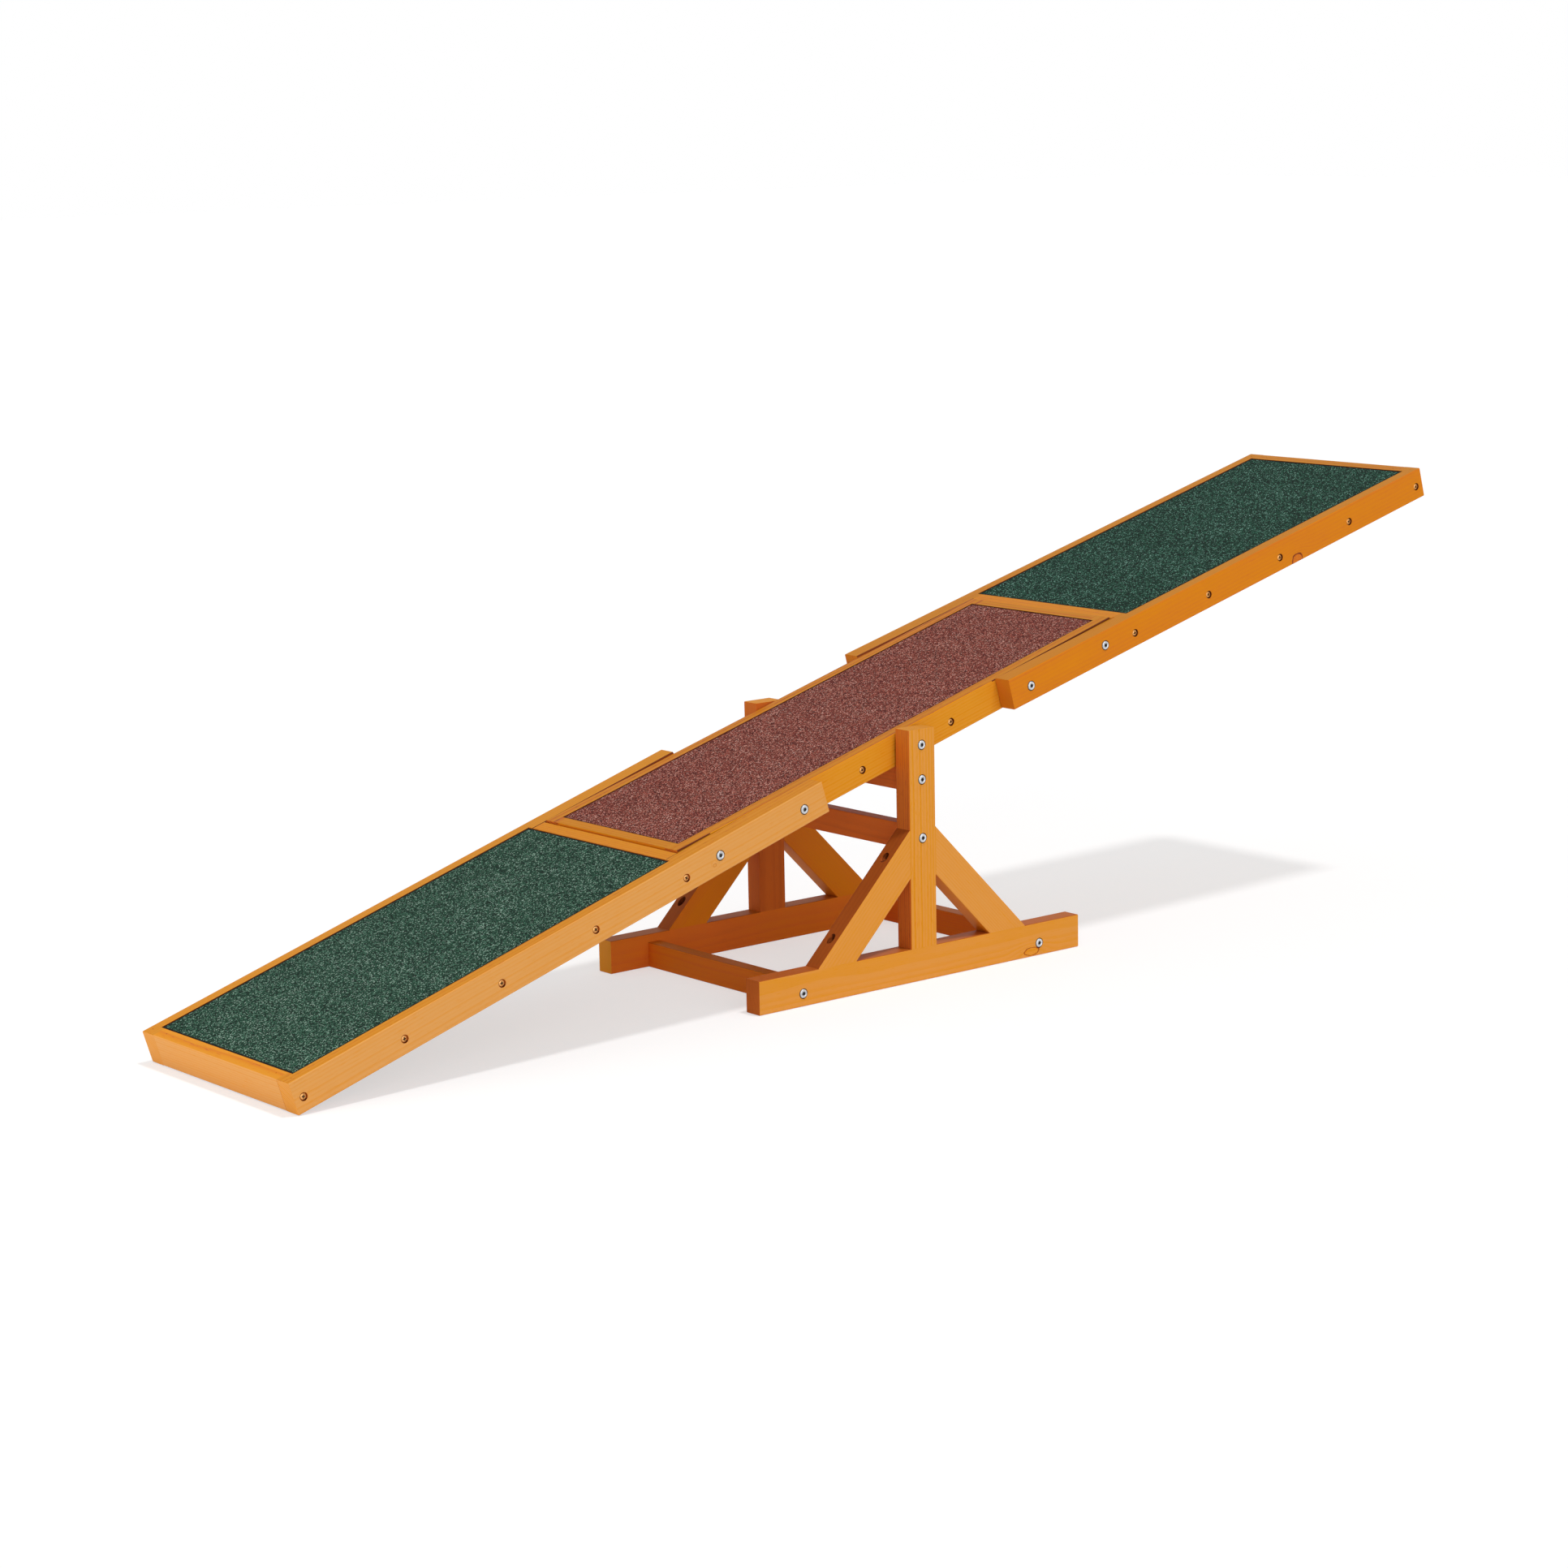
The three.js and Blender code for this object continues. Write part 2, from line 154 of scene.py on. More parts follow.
# %% A finish and its nodes
class Finish:
    """A material, or the world, with its one shader and the nodes that feed it."""

    def __init__(self, name, library=bpy.data.materials, shader="Principled BSDF"):
        self.owner = library.new(name)
        self.owner.use_nodes = True
        self.tree = self.owner.node_tree
        self.shader = self.tree.nodes[shader]

    def node(self, kind, settings=None, inputs=None, output=0):
        """Adds a node, sets its options, feeds its sockets and gives back one of its outputs."""
        made = self.tree.nodes.new("ShaderNode" + kind)
        settings = dict(settings or {})
        stops = settings.pop("stops", None)
        for name, value in settings.items():
            setattr(made, name, value)
        if stops:
            ramp = made.color_ramp.elements
            while len(ramp) < len(stops):
                ramp.new(1)
            for element, (position, colour) in zip(ramp, stops):
                element.position = position
                element.color = (*colour, 1)
        for name, value in (inputs or {}).items():
            self.feed(made.inputs[name], value)
        return Wire(self, made.outputs[output])

    def maths(self, operation, *values):
        return self.node("Math", {"operation": operation}, dict(enumerate(values)))

    def attribute(self, name, output="Fac"):
        """A value or vector that is stored on the mesh."""
        return self.node("Attribute", {"attribute_name": name}, output=output)

    def feed(self, socket, value):
        if isinstance(value, Wire):
            self.tree.links.new(value.socket, socket)
        else:
            socket.default_value = value

    def set(self, **inputs):
        """Feeds the shader's own sockets; base_color stands for the socket Base Color."""
        sockets = {socket.name.lower().replace(" ", "_"): socket for socket in self.shader.inputs}
        for name, value in inputs.items():
            self.feed(sockets[name], value)

    def between(self, value, low, high, at_low=0.0, at_high=1.0, smooth=True):
        """Maps a stretch of a value, with soft or straight ends."""
        kind = "SMOOTHSTEP" if smooth else "LINEAR"
        sockets = {"Value": value, "From Min": low, "From Max": high, "To Min": at_low,
                   "To Max": at_high}
        return self.node("MapRange", {"interpolation_type": kind}, sockets)

    def scaled(self, vector, *factors):
        """Stretches a pattern: a small factor draws it out along that axis."""
        sockets = {0: vector, 1: tuple(factors)}
        return self.node("VectorMath", {"operation": "MULTIPLY"}, sockets)

    def noise(self, vector, scale=1.0, detail=2.0, roughness=0.5):
        sockets = {"Vector": vector, "Scale": scale, "Detail": detail, "Roughness": roughness}
        return self.node("TexNoise", {}, sockets)

    def mix(self, share, first, second, kind="MIX"):
        """Mixes two colours. The node has an A and a B for every type of value, colours too."""
        settings = {"data_type": "RGBA", "blend_type": kind}
        made = self.node("Mix", settings, {0: share}, output=2)
        for socket, colour in zip(("A", "B"), (first, second)):
            place = [s for s in made.socket.node.inputs if s.name == socket and s.type == "RGBA"][0]
            self.feed(place, colour if isinstance(colour, Wire) else (*colour, 1))
        return made

    def bump(self, height, distance, strength=1.0, normal=None):
        """Shades a surface as if a height of 1 stood out from it by the distance."""
        sockets = {"Height": height, "Distance": distance, "Strength": strength}
        if normal is not None:
            sockets["Normal"] = normal
        return self.node("Bump", {}, sockets)

    def seen(self):
        """1 for what the camera sees, also by way of metal or glass, and 0 for light on a piece."""
        ray = self.node("LightPath", output="Is Camera Ray")
        seen = ray
        for other in ("Is Glossy Ray", "Is Transmission Ray"):
            seen = self.maths("MAXIMUM", seen, ray.out(other))
        return seen


print("finishes ready")

# %% [markdown]
# ## Stained pine
# Pine is stripes of pale spring wood and narrow dark summer wood, wound round the middle of the
# trunk. Paint on a flat face would look like wallpaper, so the pattern is made solid instead:
# each board carries a coordinate that says where in the trunk it was sawn from, in millimetres,
# and the shader draws rings round the trunk's axis. Faces show long lines, ends show arcs, and
# both meet at the edges, as on a real board. An orange stain hides most of this figure. It takes
# more deeply in one board than in the next, so one number, the depth of the stain, drives a ramp
# from honey to red-brown. That depth also carries painted shade: it is deeper on the faces that
# the light leaves dark and in the walls of holes, where open grain takes it too, and a brightness
# per face scales the colour.

# %% Stained pine
ring_width = 3.2
trunk_wander = 9.0
ring_ripple = 0.9
knot_radius = 6.0
knot_push = 6.0
knot_swell = (30.0, 3.0)
knot_ragged = 3.0
# How fine each noise is, along the trunk and twice across it
wander_scale, ripple_scale = (0.0022, 0.012, 0.012), (0.008, 0.16, 0.16)
fibre_scale, cloud_scale, fleck_scale = (0.010, 1.3, 1.3), (0.005, 0.022, 0.022), (0.09, 1.0, 1.0)
# Where each part of the pattern sets in and where it is full
summer_starts, summer_stops = (0.30, 0.82), (1.0, 0.90)
fleck_span, speck_span = (0.60, 0.74), (0.48, 0.66)
outline_outside, outline_inside, heart_span = (6.8, 6.3), (4.9, 5.9), (6.3, 5.2)
# How much deeper the stain goes in each part of the pattern
taken = {"summer": 0.20, "fibre": 0.16, "fleck": 0.16, "cloud": 0.12, "open_grain": 0.6,
         "outline": 0.30, "inside": 0.05, "speck": 0.14}
outline_depth = 0.92
stain_ramp = [(0.0, (0.76, 0.385, 0.125)), (0.3, (0.745, 0.300, 0.048)),
              (0.45, (0.735, 0.285, 0.014)), (0.6, (0.715, 0.240, 0.003)),
              (0.75, (0.640, 0.152, 0.020)), (0.88, (0.400, 0.085, 0.016)),
              (1.0, (0.150, 0.030, 0.006))]
grain_relief = 0.08 * mm


def stained_pine():
    wood = Finish("stained_pine")
    place = wood.attribute("grain", "Vector")
    axes = wood.node("SeparateXYZ", {}, {0: place})
    across, deep = axes.out("Y"), axes.out("Z")
    open_grain = wood.attribute("open_grain")
    figure = wood.attribute("figure")

    # The trunk wanders slowly, and a knot pushes the rings aside
    knot = wood.attribute("knot", "Vector")
    knot_distance = wood.node("VectorMath", {"operation": "LENGTH"}, {0: knot}, output="Value")
    swell = wood.between(knot_distance, *knot_swell)
    wander = wood.noise(wood.scaled(place, *wander_scale)) - 0.5
    ripple = wood.noise(wood.scaled(place, *ripple_scale)) - 0.5
    radius = (across * across + deep * deep) ** 0.5
    push = swell * swell * knot_push
    rings = (radius + wander * trunk_wander + ripple * ring_ripple + push) / ring_width
    phase = wood.maths("FRACT", rings)
    pace = wood.node("TexWhiteNoise", {"noise_dimensions": "1D"}, {"W": wood.maths("FLOOR", rings)},
                     output="Value")
    summer = wood.between(phase, *summer_starts) * wood.between(phase, *summer_stops)
    summer = summer * (0.3 + 0.7 * pace)

    # Fibres run with the board, and the stain takes in clouds
    fibre = wood.noise(wood.scaled(place, *fibre_scale), detail=3.0, roughness=0.65) - 0.5
    cloud = wood.noise(wood.scaled(place, *cloud_scale)) - 0.5
    fleck = wood.between(wood.noise(wood.scaled(place, *fleck_scale), detail=1.0), *fleck_span)

    # A knot is a ragged outline round a darker heart with dark specks in it
    ragged = knot_distance + wood.noise(knot, scale=0.25) * knot_ragged - knot_ragged / 2
    outline = wood.between(ragged, *outline_outside) * wood.between(ragged, *outline_inside)
    inside = wood.between(ragged, *heart_span)
    speck = wood.between(wood.noise(knot, scale=0.9, detail=3.0), *speck_span) * inside

    drawn = summer * taken["summer"] + fibre * taken["fibre"] + fleck * taken["fleck"]
    depth = wood.attribute("stain") + figure * drawn + cloud * taken["cloud"]
    # The walls of holes and pockets take the stain deeper, as open grain, and this also paints the
    # shade that falls in them.
    depth = depth + open_grain * taken["open_grain"] + outline * taken["outline"]
    depth = depth + inside * taken["inside"] + speck * taken["speck"]
    depth = wood.maths("MAXIMUM", depth, outline * outline_depth)
    tint = wood.node("ValToRGB", {"stops": stain_ramp}, {0: depth})
    # A brightness per face scales the colour: painted shade below 1, painted light above.
    shade = {0: tint, "Scale": wood.attribute("shade")}
    wood.set(base_color=wood.node("VectorMath", {"operation": "SCALE"}, shade))
    wood.set(roughness=0.48 + 0.10 * fibre + 0.25 * open_grain, specular_ior_level=0.06)
    wood.set(normal=wood.bump(fibre * 0.7 + summer * 0.4 - outline, grain_relief, strength=0.5))
    return wood.owner


pine = stained_pine()
print("rings of", ring_width, "mm")

# %% [markdown]
# ## Mineral grit
# The mats are roofing felt: crushed slate, dyed green or brick red, pressed into black bitumen.
# A Voronoi pattern gives each grain its own patch; each patch takes a shade from a ramp, and the
# distance to the middle of the patch makes a round bump. A second, larger pattern makes loose
# clusters, so the mat does not look like even television snow from far away. The attribute new
# is 1 on the mat that has seen the least wear: its grains are darker and differ more.

# %% Mineral grit
grain_size = 1.3 * mm
cluster_size = 2.4 * mm
drift_size = 90 * mm
middle_level = 0.38
contrast_used, contrast_new = 0.96, 0.40
cluster_share, drift_share = 0.24, 0.10
new_darker = 0.21
new_tint = (0.80, 1.05, 1.06)
bitumen_and_gap_shade = (0.010, 0.009, 0.008)
gap_span, gap_share = (0.40, 0.66), 0.8
lump_relief, cluster_relief = 0.8 * mm, 0.9 * mm


def mineral_grit(name, shades, dark, rim_width):
    grit = Finish(name)
    place = grit.node("TexCoord", output="Object")
    patch = grit.node("TexVoronoi", {"feature": "F1"}, {"Vector": place, "Scale": 1 / grain_size},
                      output="Color")
    shade = grit.node("SeparateColor", {}, {0: patch})
    distance = patch.out("Distance")
    cluster = grit.noise(place, scale=1 / cluster_size, detail=2.0, roughness=0.6)
    drift = grit.noise(place, scale=1 / drift_size, detail=1.0)
    new = grit.attribute("new")
    level = middle_level + (shade - 0.5) * (contrast_used + contrast_new * new)
    level = level + cluster * cluster_share + (drift - 0.5) * drift_share - new_darker * new
    colour = grit.node("ValToRGB", {"stops": shades}, {0: level})
    colour = grit.mix(new, colour, new_tint, "MULTIPLY")
    gap = grit.between(distance, *gap_span)
    colour = grit.mix(gap * gap_share, colour, dark)
    # A band round the mat's edge goes black: bitumen at the felt's cut edge, and painted shade of
    # the gap round the mat.
    rim = grit.attribute("rim")
    colour = grit.mix(grit.between(rim, rim_width, rim_width / 2), colour, bitumen_and_gap_shade)
    grit.set(base_color=colour, roughness=0.75 + 0.2 * shade, specular_ior_level=0.08)
    lumps = grit.bump(1 - distance, lump_relief, strength=0.9)
    grit.set(normal=grit.bump(cluster, cluster_relief, strength=0.6, normal=lumps))
    return grit.owner


green_shades = [(0.14, (0.002, 0.009, 0.006)), (0.40, (0.011, 0.050, 0.029)),
                (0.64, (0.037, 0.120, 0.072)), (0.84, (0.135, 0.275, 0.195)),
                (0.97, (0.41, 0.56, 0.46))]
red_shades = [(0.14, (0.062, 0.011, 0.009)), (0.40, (0.240, 0.047, 0.034)),
              (0.64, (0.420, 0.103, 0.074)), (0.84, (0.590, 0.240, 0.180)),
              (0.97, (0.76, 0.47, 0.39))]
green_grit = mineral_grit("green_grit", green_shades, (0.003, 0.008, 0.006), 2.6)
red_grit = mineral_grit("red_grit", red_shades, (0.040, 0.009, 0.008), 1.0)
print("two grit finishes")

# %% [markdown]
# ## Plywood
# The board under each mat shows only from below. A veneer is peeled off a turning log, so its
# rings open out into wide flames, drawn here by stretched noise. On the sawn edge the plies lie
# crosswise, light and dark in turn.

# %% Plywood
ply_thickness = 2.0
flames = 14.0
flame_scale, peel_scale = (0.006, 0.03, 0.0), (0.02, 1.1, 0.3)
line_starts, line_stops, glue_span = (0.5, 0.95), (1.0, 0.96), (0.35, 0.65)
veneer_relief = 0.15 * mm
veneer, veneer_line, glue_line = (0.52, 0.30, 0.13), (0.33, 0.16, 0.058), (0.18, 0.085, 0.035)


def plywood():
    ply = Finish("plywood")
    place = ply.attribute("grain", "Vector")
    height = ply.node("SeparateXYZ", {}, {0: place}).out("Z")
    flame = ply.noise(ply.scaled(place, *flame_scale), detail=2.0)
    bands = ply.maths("FRACT", flame * flames)
    fibre = ply.noise(ply.scaled(place, *peel_scale), detail=3.0, roughness=0.7)
    line = ply.between(bands, *line_starts) * ply.between(bands, *line_stops)
    colour = ply.mix(line * 0.45 + fibre * 0.35, veneer, veneer_line)
    open_edge = ply.attribute("open_grain")
    layer = ply.maths("PINGPONG", height, ply_thickness) / ply_thickness
    colour = ply.mix(open_edge * ply.between(layer, *glue_span), colour, glue_line)
    ply.set(base_color=colour, roughness=0.62 + 0.2 * fibre, specular_ior_level=0.3)
    ply.set(normal=ply.bump(fibre - 0.5 * line, veneer_relief, strength=0.5))
    return ply.owner


board = plywood()
print("plywood in plies of", ply_thickness, "mm")

# %% [markdown]
# ## Zinc and yellow passivate
# The bolts are zinc plated: a grey metal with a faintly mottled sheen and fine marks from the
# tool. The wood screws are zinc with a yellow passivate that has gone dull. The sockets, the
# crosses and the sides of the heads are painted dark as the shade that falls in them. The mesh
# says where that is, with an attribute that runs from 0 on the bright ring of a head to 1 in its
# corners.

# %% Metal finishes
cloud_size = 2.2 * mm
mark_length, mark_width = 2 * mm, 0.3 * mm
mark_relief = 0.02 * mm
dull_span = (0.35, 0.7)
dirt_and_shade = (0.045, 0.035, 0.028)


def plated(name, bright, dull, roughness):
    metal = Finish(name)
    place = metal.node("TexCoord", output="Object")
    cloud = metal.noise(place, scale=1 / cloud_size, detail=3.0)
    marks = metal.noise(metal.scaled(place, 1 / mark_length, 1 / mark_width, 1 / mark_length))
    grime_and_shade = metal.attribute("grime_and_shade")
    colour = metal.mix(metal.between(cloud, *dull_span), bright, dull)
    # Where the attribute is high the metal goes dark: painted shade in the hollows, and some dirt.
    colour = metal.mix(grime_and_shade * (0.80 + 0.3 * cloud), colour, dirt_and_shade)
    sheen = roughness + 0.16 * (cloud - 0.5) + 0.08 * marks + 0.2 * grime_and_shade
    metal.set(metallic=1.0, base_color=colour, roughness=sheen)
    metal.set(normal=metal.bump(marks + cloud, mark_relief, strength=0.5))
    return metal.owner


zinc = plated("zinc", (0.70, 0.72, 0.75), (0.48, 0.50, 0.53), 0.28)
yellow_zinc = plated("yellow_zinc", (0.82, 0.43, 0.15), (0.62, 0.29, 0.09), 0.45)
print("two metal finishes")

# %% [markdown]
# ## Measuring the CAD
# The plank lies at a slope, and its end sections sag a degree more than the middle one. A joiner
# works on a level bench, so every piece is measured and modelled level and then laid at its slope
# by a turn about the world's Y axis. The slope of a CAD piece is read from its largest top face.

# %% Slopes and level boxes
upward, untwisted = 0.7, 0.01


def slope_of(node):
    """The angle of a CAD piece's top above level, in radians, from its largest face on top."""
    tops = [face for face in cad[node].data.polygons
            if face.normal.z > upward and abs(face.normal.y) < untwisted]
    normal = max(tops, key=lambda face: face.area).normal
    return math.atan2(-normal.x, normal.z)


def laid(slope):
    """The turn that takes a level piece to its slope."""
    return Matrix.Rotation(-slope, 4, "Y")


slopes = {section: slope_of(section + "_front_rail") for section in ("left", "middle", "right")}
slopes["trestle"] = 0.0


def level_box(node, section):
    """Lowest and highest corner of a CAD piece, measured level."""
    to_level = laid(slopes[section]).inverted()
    corners = [to_level @ v.co for v in cad[node].data.vertices]
    low = Vector(min(c[i] for c in corners) for i in range(3))
    high = Vector(max(c[i] for c in corners) for i in range(3))
    return low, high


print("slopes in degrees:", {name: round(math.degrees(s), 2) for name, s in slopes.items()})

# %% [markdown]
# ## Working by hand, in code
# An operator acts on whatever is selected, so one helper leaves only the named pieces selected,
# one opens a piece in edit mode, and one picks faces or edges there by a rule on their place.
# Cutting is a Boolean modifier that is applied at once, as a drill takes wood away at once.

# %% Select, open and pick
touch = 0.01 * mm
nearly = 0.999


def only(*pieces):
    """Leaves only these pieces selected, the first of them active."""
    bpy.ops.object.select_all(action="DESELECT")
    for piece in pieces:
        piece.select_set(True)
    bpy.context.view_layer.objects.active = pieces[0]
    return pieces[0]


@contextmanager
def edit_mode(piece):
    """Opens a piece for editing, and closes it at the end of the block."""
    only(piece)
    bpy.ops.object.mode_set(mode="EDIT")
    yield
    bpy.ops.object.mode_set(mode="OBJECT")


def pick(kind, rule):
    """In edit mode, selects the faces, edges or verts for which the rule holds, and counts them."""
    bpy.ops.mesh.select_mode(type={"verts": "VERT", "edges": "EDGE", "faces": "FACE"}[kind])
    bpy.ops.mesh.select_all(action="DESELECT")
    mesh = bmesh.from_edit_mesh(bpy.context.edit_object.data)
    picked = [item for item in getattr(mesh, kind) if rule(item)]
    for item in picked:
        item.select_set(True)
    mesh.select_flush_mode()
    bmesh.update_edit_mesh(bpy.context.edit_object.data)
    return len(picked)


def runs_along(axis):
    """A rule for edges that run along an axis."""
    def rule(edge):
        way = edge.verts[1].co - edge.verts[0].co
        return abs(way[axis]) > nearly * way.length
    return rule


def lies_at(axis, *places):
    """A rule for edges whose two ends both lie at one of some places along an axis."""
    def rule(edge):
        return any(all(abs(v.co[axis] - at) < touch for v in edge.verts) for at in places)
    return rule


def looks_up(face):
    return face.normal.z > 0.9


def unit(axis):
    return Vector(1.0 if i == axis else 0.0 for i in range(3))


print("selection helpers ready")


# %% Move, cut, join and copy
def move(piece, matrix):
    """Turns and shifts a piece, and puts its new place into its mesh."""
    only(piece)
    piece.matrix_world = matrix @ piece.matrix_world
    bpy.ops.object.transform_apply(location=True, rotation=True, scale=True)
    return piece


def modify(piece, kind, **settings):
    """Gives a piece a modifier and applies it at once."""
    only(piece)
    bpy.ops.object.modifier_add(type=kind)
    modifier = piece.modifiers[-1]
    for name, value in settings.items():
        setattr(modifier, name, value)
    bpy.ops.object.modifier_apply(modifier=modifier.name)
    return piece


def cut(piece, tool, operation="DIFFERENCE"):
    return modify(piece, "BOOLEAN", operation=operation, solver="EXACT", object=tool)


def joined(name, pieces):
    first = only(*pieces)
    bpy.ops.object.join()
    first.name = name
    return first


def copy_of(piece, name):
    only(piece)
    bpy.ops.object.duplicate(linked=False)
    twin = bpy.context.active_object
    twin.name = name
    return twin


def copy_to(pattern, name, at, *turns):
    """Copies a piece that was made at the origin, turns the copy and shifts it to its place."""
    place = Matrix.Translation(at)
    for turn in turns:
        place = place @ turn
    return move(copy_of(pattern, name), place)


def discard(*pieces):
    only(*pieces)
    bpy.ops.object.delete()


def store(piece, name, numbers, kind="FLOAT", domain="POINT"):
    """Writes a number or a vector for each vertex or face on a piece's mesh."""
    data = piece.data.attributes.new(name, kind, domain).data
    data.foreach_set("vector" if kind == "FLOAT_VECTOR" else "value", numbers)


print("shop helpers ready")

# %% A box and a lathe
weld = 0.005 * mm


def block(name, low, high):
    """A plain box between two corners, as a start for other work."""
    bpy.ops.mesh.primitive_cube_add(size=1, location=(low + high) / 2)
    piece = bpy.context.active_object
    piece.name = name
    piece.scale = high - low
    bpy.ops.object.transform_apply(location=True, rotation=True, scale=True)
    return piece


def turned(name, profile, sides):
    """Spins a profile of (radius, height) points in millimetres round Z, as on a lathe."""
    (radius, height), *rest = profile
    bpy.ops.mesh.primitive_plane_add(size=mm, location=(radius * mm, 0, height * mm))
    piece = bpy.context.active_object
    piece.name = name
    bpy.ops.object.transform_apply(location=True, rotation=False, scale=False)
    with edit_mode(piece):
        bpy.ops.mesh.select_mode(type="VERT")
        bpy.ops.mesh.select_all(action="SELECT")
        bpy.ops.mesh.merge(type="CENTER")
        for next_radius, next_height in rest:
            step = ((next_radius - radius) * mm, 0, (next_height - height) * mm)
            bpy.ops.mesh.extrude_region_move(TRANSFORM_OT_translate={"value": step})
            radius, height = next_radius, next_height
        bpy.ops.mesh.select_all(action="SELECT")
        bpy.ops.mesh.spin(steps=sides, angle=2 * math.pi, center=(0, 0, 0), axis=(0, 0, 1))
        bpy.ops.mesh.select_all(action="SELECT")
        bpy.ops.mesh.remove_doubles(threshold=weld)
        bpy.ops.mesh.normals_make_consistent(inside=False)
    return piece


print("turned points closer than", weld / mm, "mm are welded")

# %% [markdown]
# ## Boards
# Planed lumber has its long edges just broken by sandpaper, and so are the edges round its sawn
# ends. Where two boards meet flush, sanding the finished frame has kept the joint sharp: the
# easing stops there. So a cube is made to the board's size, cut round at the ends of each joint,
# and only the stretches of edge between the joints get a bevel. The CAD leaves a hair of air
# where boards touch, and here a board that ends against another one is made that much longer.

# %% A board
edge_radius = 1.1 * mm
edge_steps = 3
end_break = 0.5 * mm
joint_gap = 0.28 * mm
hair = 0.04 * mm
groove_width = 1.8 * mm


def middle_of(edge):
    return (edge.verts[0].co + edge.verts[1].co) / 2


def never(edge):
    return False


def plane_edges(piece, axis, ends, cuts=(), sharp=never, deep=never):
    """Breaks the long edges of a box, but for the sharp ones, and the edges at its free ends."""
    along, long_edge = unit(axis), runs_along(axis)
    with edit_mode(piece):
        for place in cuts:
            bpy.ops.mesh.select_all(action="SELECT")
            bpy.ops.mesh.bisect(plane_co=along * place, plane_no=along)
        pick("edges", lambda edge: long_edge(edge) and not sharp(edge) and not deep(edge))
        bpy.ops.mesh.bevel(offset=edge_radius, segments=edge_steps, affect="EDGES")
        if pick("edges", lambda edge: long_edge(edge) and deep(edge)):
            bpy.ops.mesh.bevel(offset=groove_width, segments=2, affect="EDGES")
        if pick("edges", lies_at(axis, *ends)):
            bpy.ops.mesh.bevel(offset=end_break, segments=2, affect="EDGES")


def bench_board(node, section, **edges):
    """A board for a CAD piece, modelled level."""
    low, high = level_box(node, section)
    axis = max(range(3), key=lambda i: (high - low)[i])
    ends = (low[axis], high[axis])
    if axis == 1:
        low.y -= joint_gap
        high.y += joint_gap
        ends = ()
    elif axis == 2:
        low.z -= joint_gap
        ends = (high.z,)
    piece = block(node + "_wood", low, high)
    plane_edges(piece, axis, ends, **edges)
    return piece, axis, (low, high)


print("boards with edges of", edge_radius / mm, "mm")

# %% [markdown]
# ## Grain
# Each board is given a place in the trunk: its long axis becomes the trunk's axis, and its middle
# lies some way from the heart of the trunk. The coordinate is stored on the mesh while the board
# lies level, so it turns with the board. Other attributes mark the faces that cut the fibres and
# the walls of holes, which are also painted darker as the shade that falls in them, say how
# strongly a board's figure shows, and give the way to the knot of the few boards that have one.
# The depth of the stain goes by board and by face, and a brightness per face scales the colour:
# between them they paint shade on the tops, sides and hidden faces that the light leaves darker,
# and a little painted light on a few faces.

# %% Stain, figure and knots of the boards
ways = ("outer", "top", "end", "hidden")
# For these four sides, the depth of the stain, and a brightness: painted shade below 1, painted
# light above
stains_and_shades = {
    "left": ((0.10, 1.0), (0.43, 0.84), (0.12, 1.0), (0.70, 1.0)),
    "middle": ((0.39, 1.0), (0.48, 0.76), (0.60, 1.0), (0.70, 1.0)),
    "right": ((0.63, 1.0), (0.50, 0.75), (0.55, 1.0), (0.70, 1.0)),
    "post": ((0.26, 1.0), (0.36, 0.85), (0.71, 1.02), (0.74, 1.05)),
    "rail": ((0.28, 1.0), (0.72, 0.66), (0.67, 0.95), (0.75, 1.20)),
    "bar": ((0.60, 1.0), (0.70, 0.80), (0.73, 1.30), (0.75, 1.20)),
    "brace": ((0.26, 1.0), (0.78, 0.70), (0.74, 1.0), (0.67, 1.10)),
}
stain_and_shade_by_face = {kind: dict(zip(ways, row)) for kind, row in stains_and_shades.items()}
# Single faces whose stain and painted shade or light differ from the rest of their kind
own_stain_and_shade = {("back_base_rail", "end"): (0.33, 1.22), ("left_end_bar", "top"): (0.45, 0.94),
             ("left_inner_bar", "top"): (0.50, 0.88), ("right_inner_bar", "top"): (0.52, 0.88)}
plain_figure = 0.55
plank_figure = dict(zip(ways, (1.0, 2.0, 1.4, 0.3)))
trestle_figure = dict(zip(ways, (1.0, 0.3, 0.3, 0.25)))
boards_with_figure = {"front_post": 1.3, "middle_front_rail": 0.8, "middle_back_rail": 0.8,
                      "left_front_rail": 0.75, "right_front_rail": 0.3}
# Place along the board and up from its middle, and radius, in millimetres, and how much it is
# drawn out along the board
knots = {"right_front_rail": (129.5, -16.0, 7.6, 1.25), "front_base_rail": (172.5, -13.5, 4.6, 2.6),
         "left_front_rail": (205.0, -6.0, 1.7, 1.25), "left_back_rail": (-140.0, 4.0, 5.0, 1.25)}
print("stain for", len(stains_and_shades), "kinds of board, knots on", ", ".join(knots))

# %% Grain attributes
trunk = random.Random(31)
# How a board may lie in its trunk: its turn in radians, and millimetres from the heart and along
trunk_turn, from_heart, along_trunk = (0.2, 1.35), (50, 105), (-4000, 4000)
tone_spread = (-0.03, 0.03)
no_knot = 1000.0
wall_margin = 0.45 * mm
end_facing = 0.7
end_grain = 0.15
# Stain depth on the lap groove's eased faces, which paints the shade in the line between rails
groove_painted_shade = 0.97


def which_way(normal, middle):
    """Names the side of a board that a face is on, from its normal while the board lies level."""
    side = max(range(3), key=lambda i: abs(normal[i]))
    if side == 0:
        return "end"
    if side == 1:
        return "outer" if normal.y * middle.y > 0 else "hidden"
    return "top" if normal.z > 0 else "hidden"


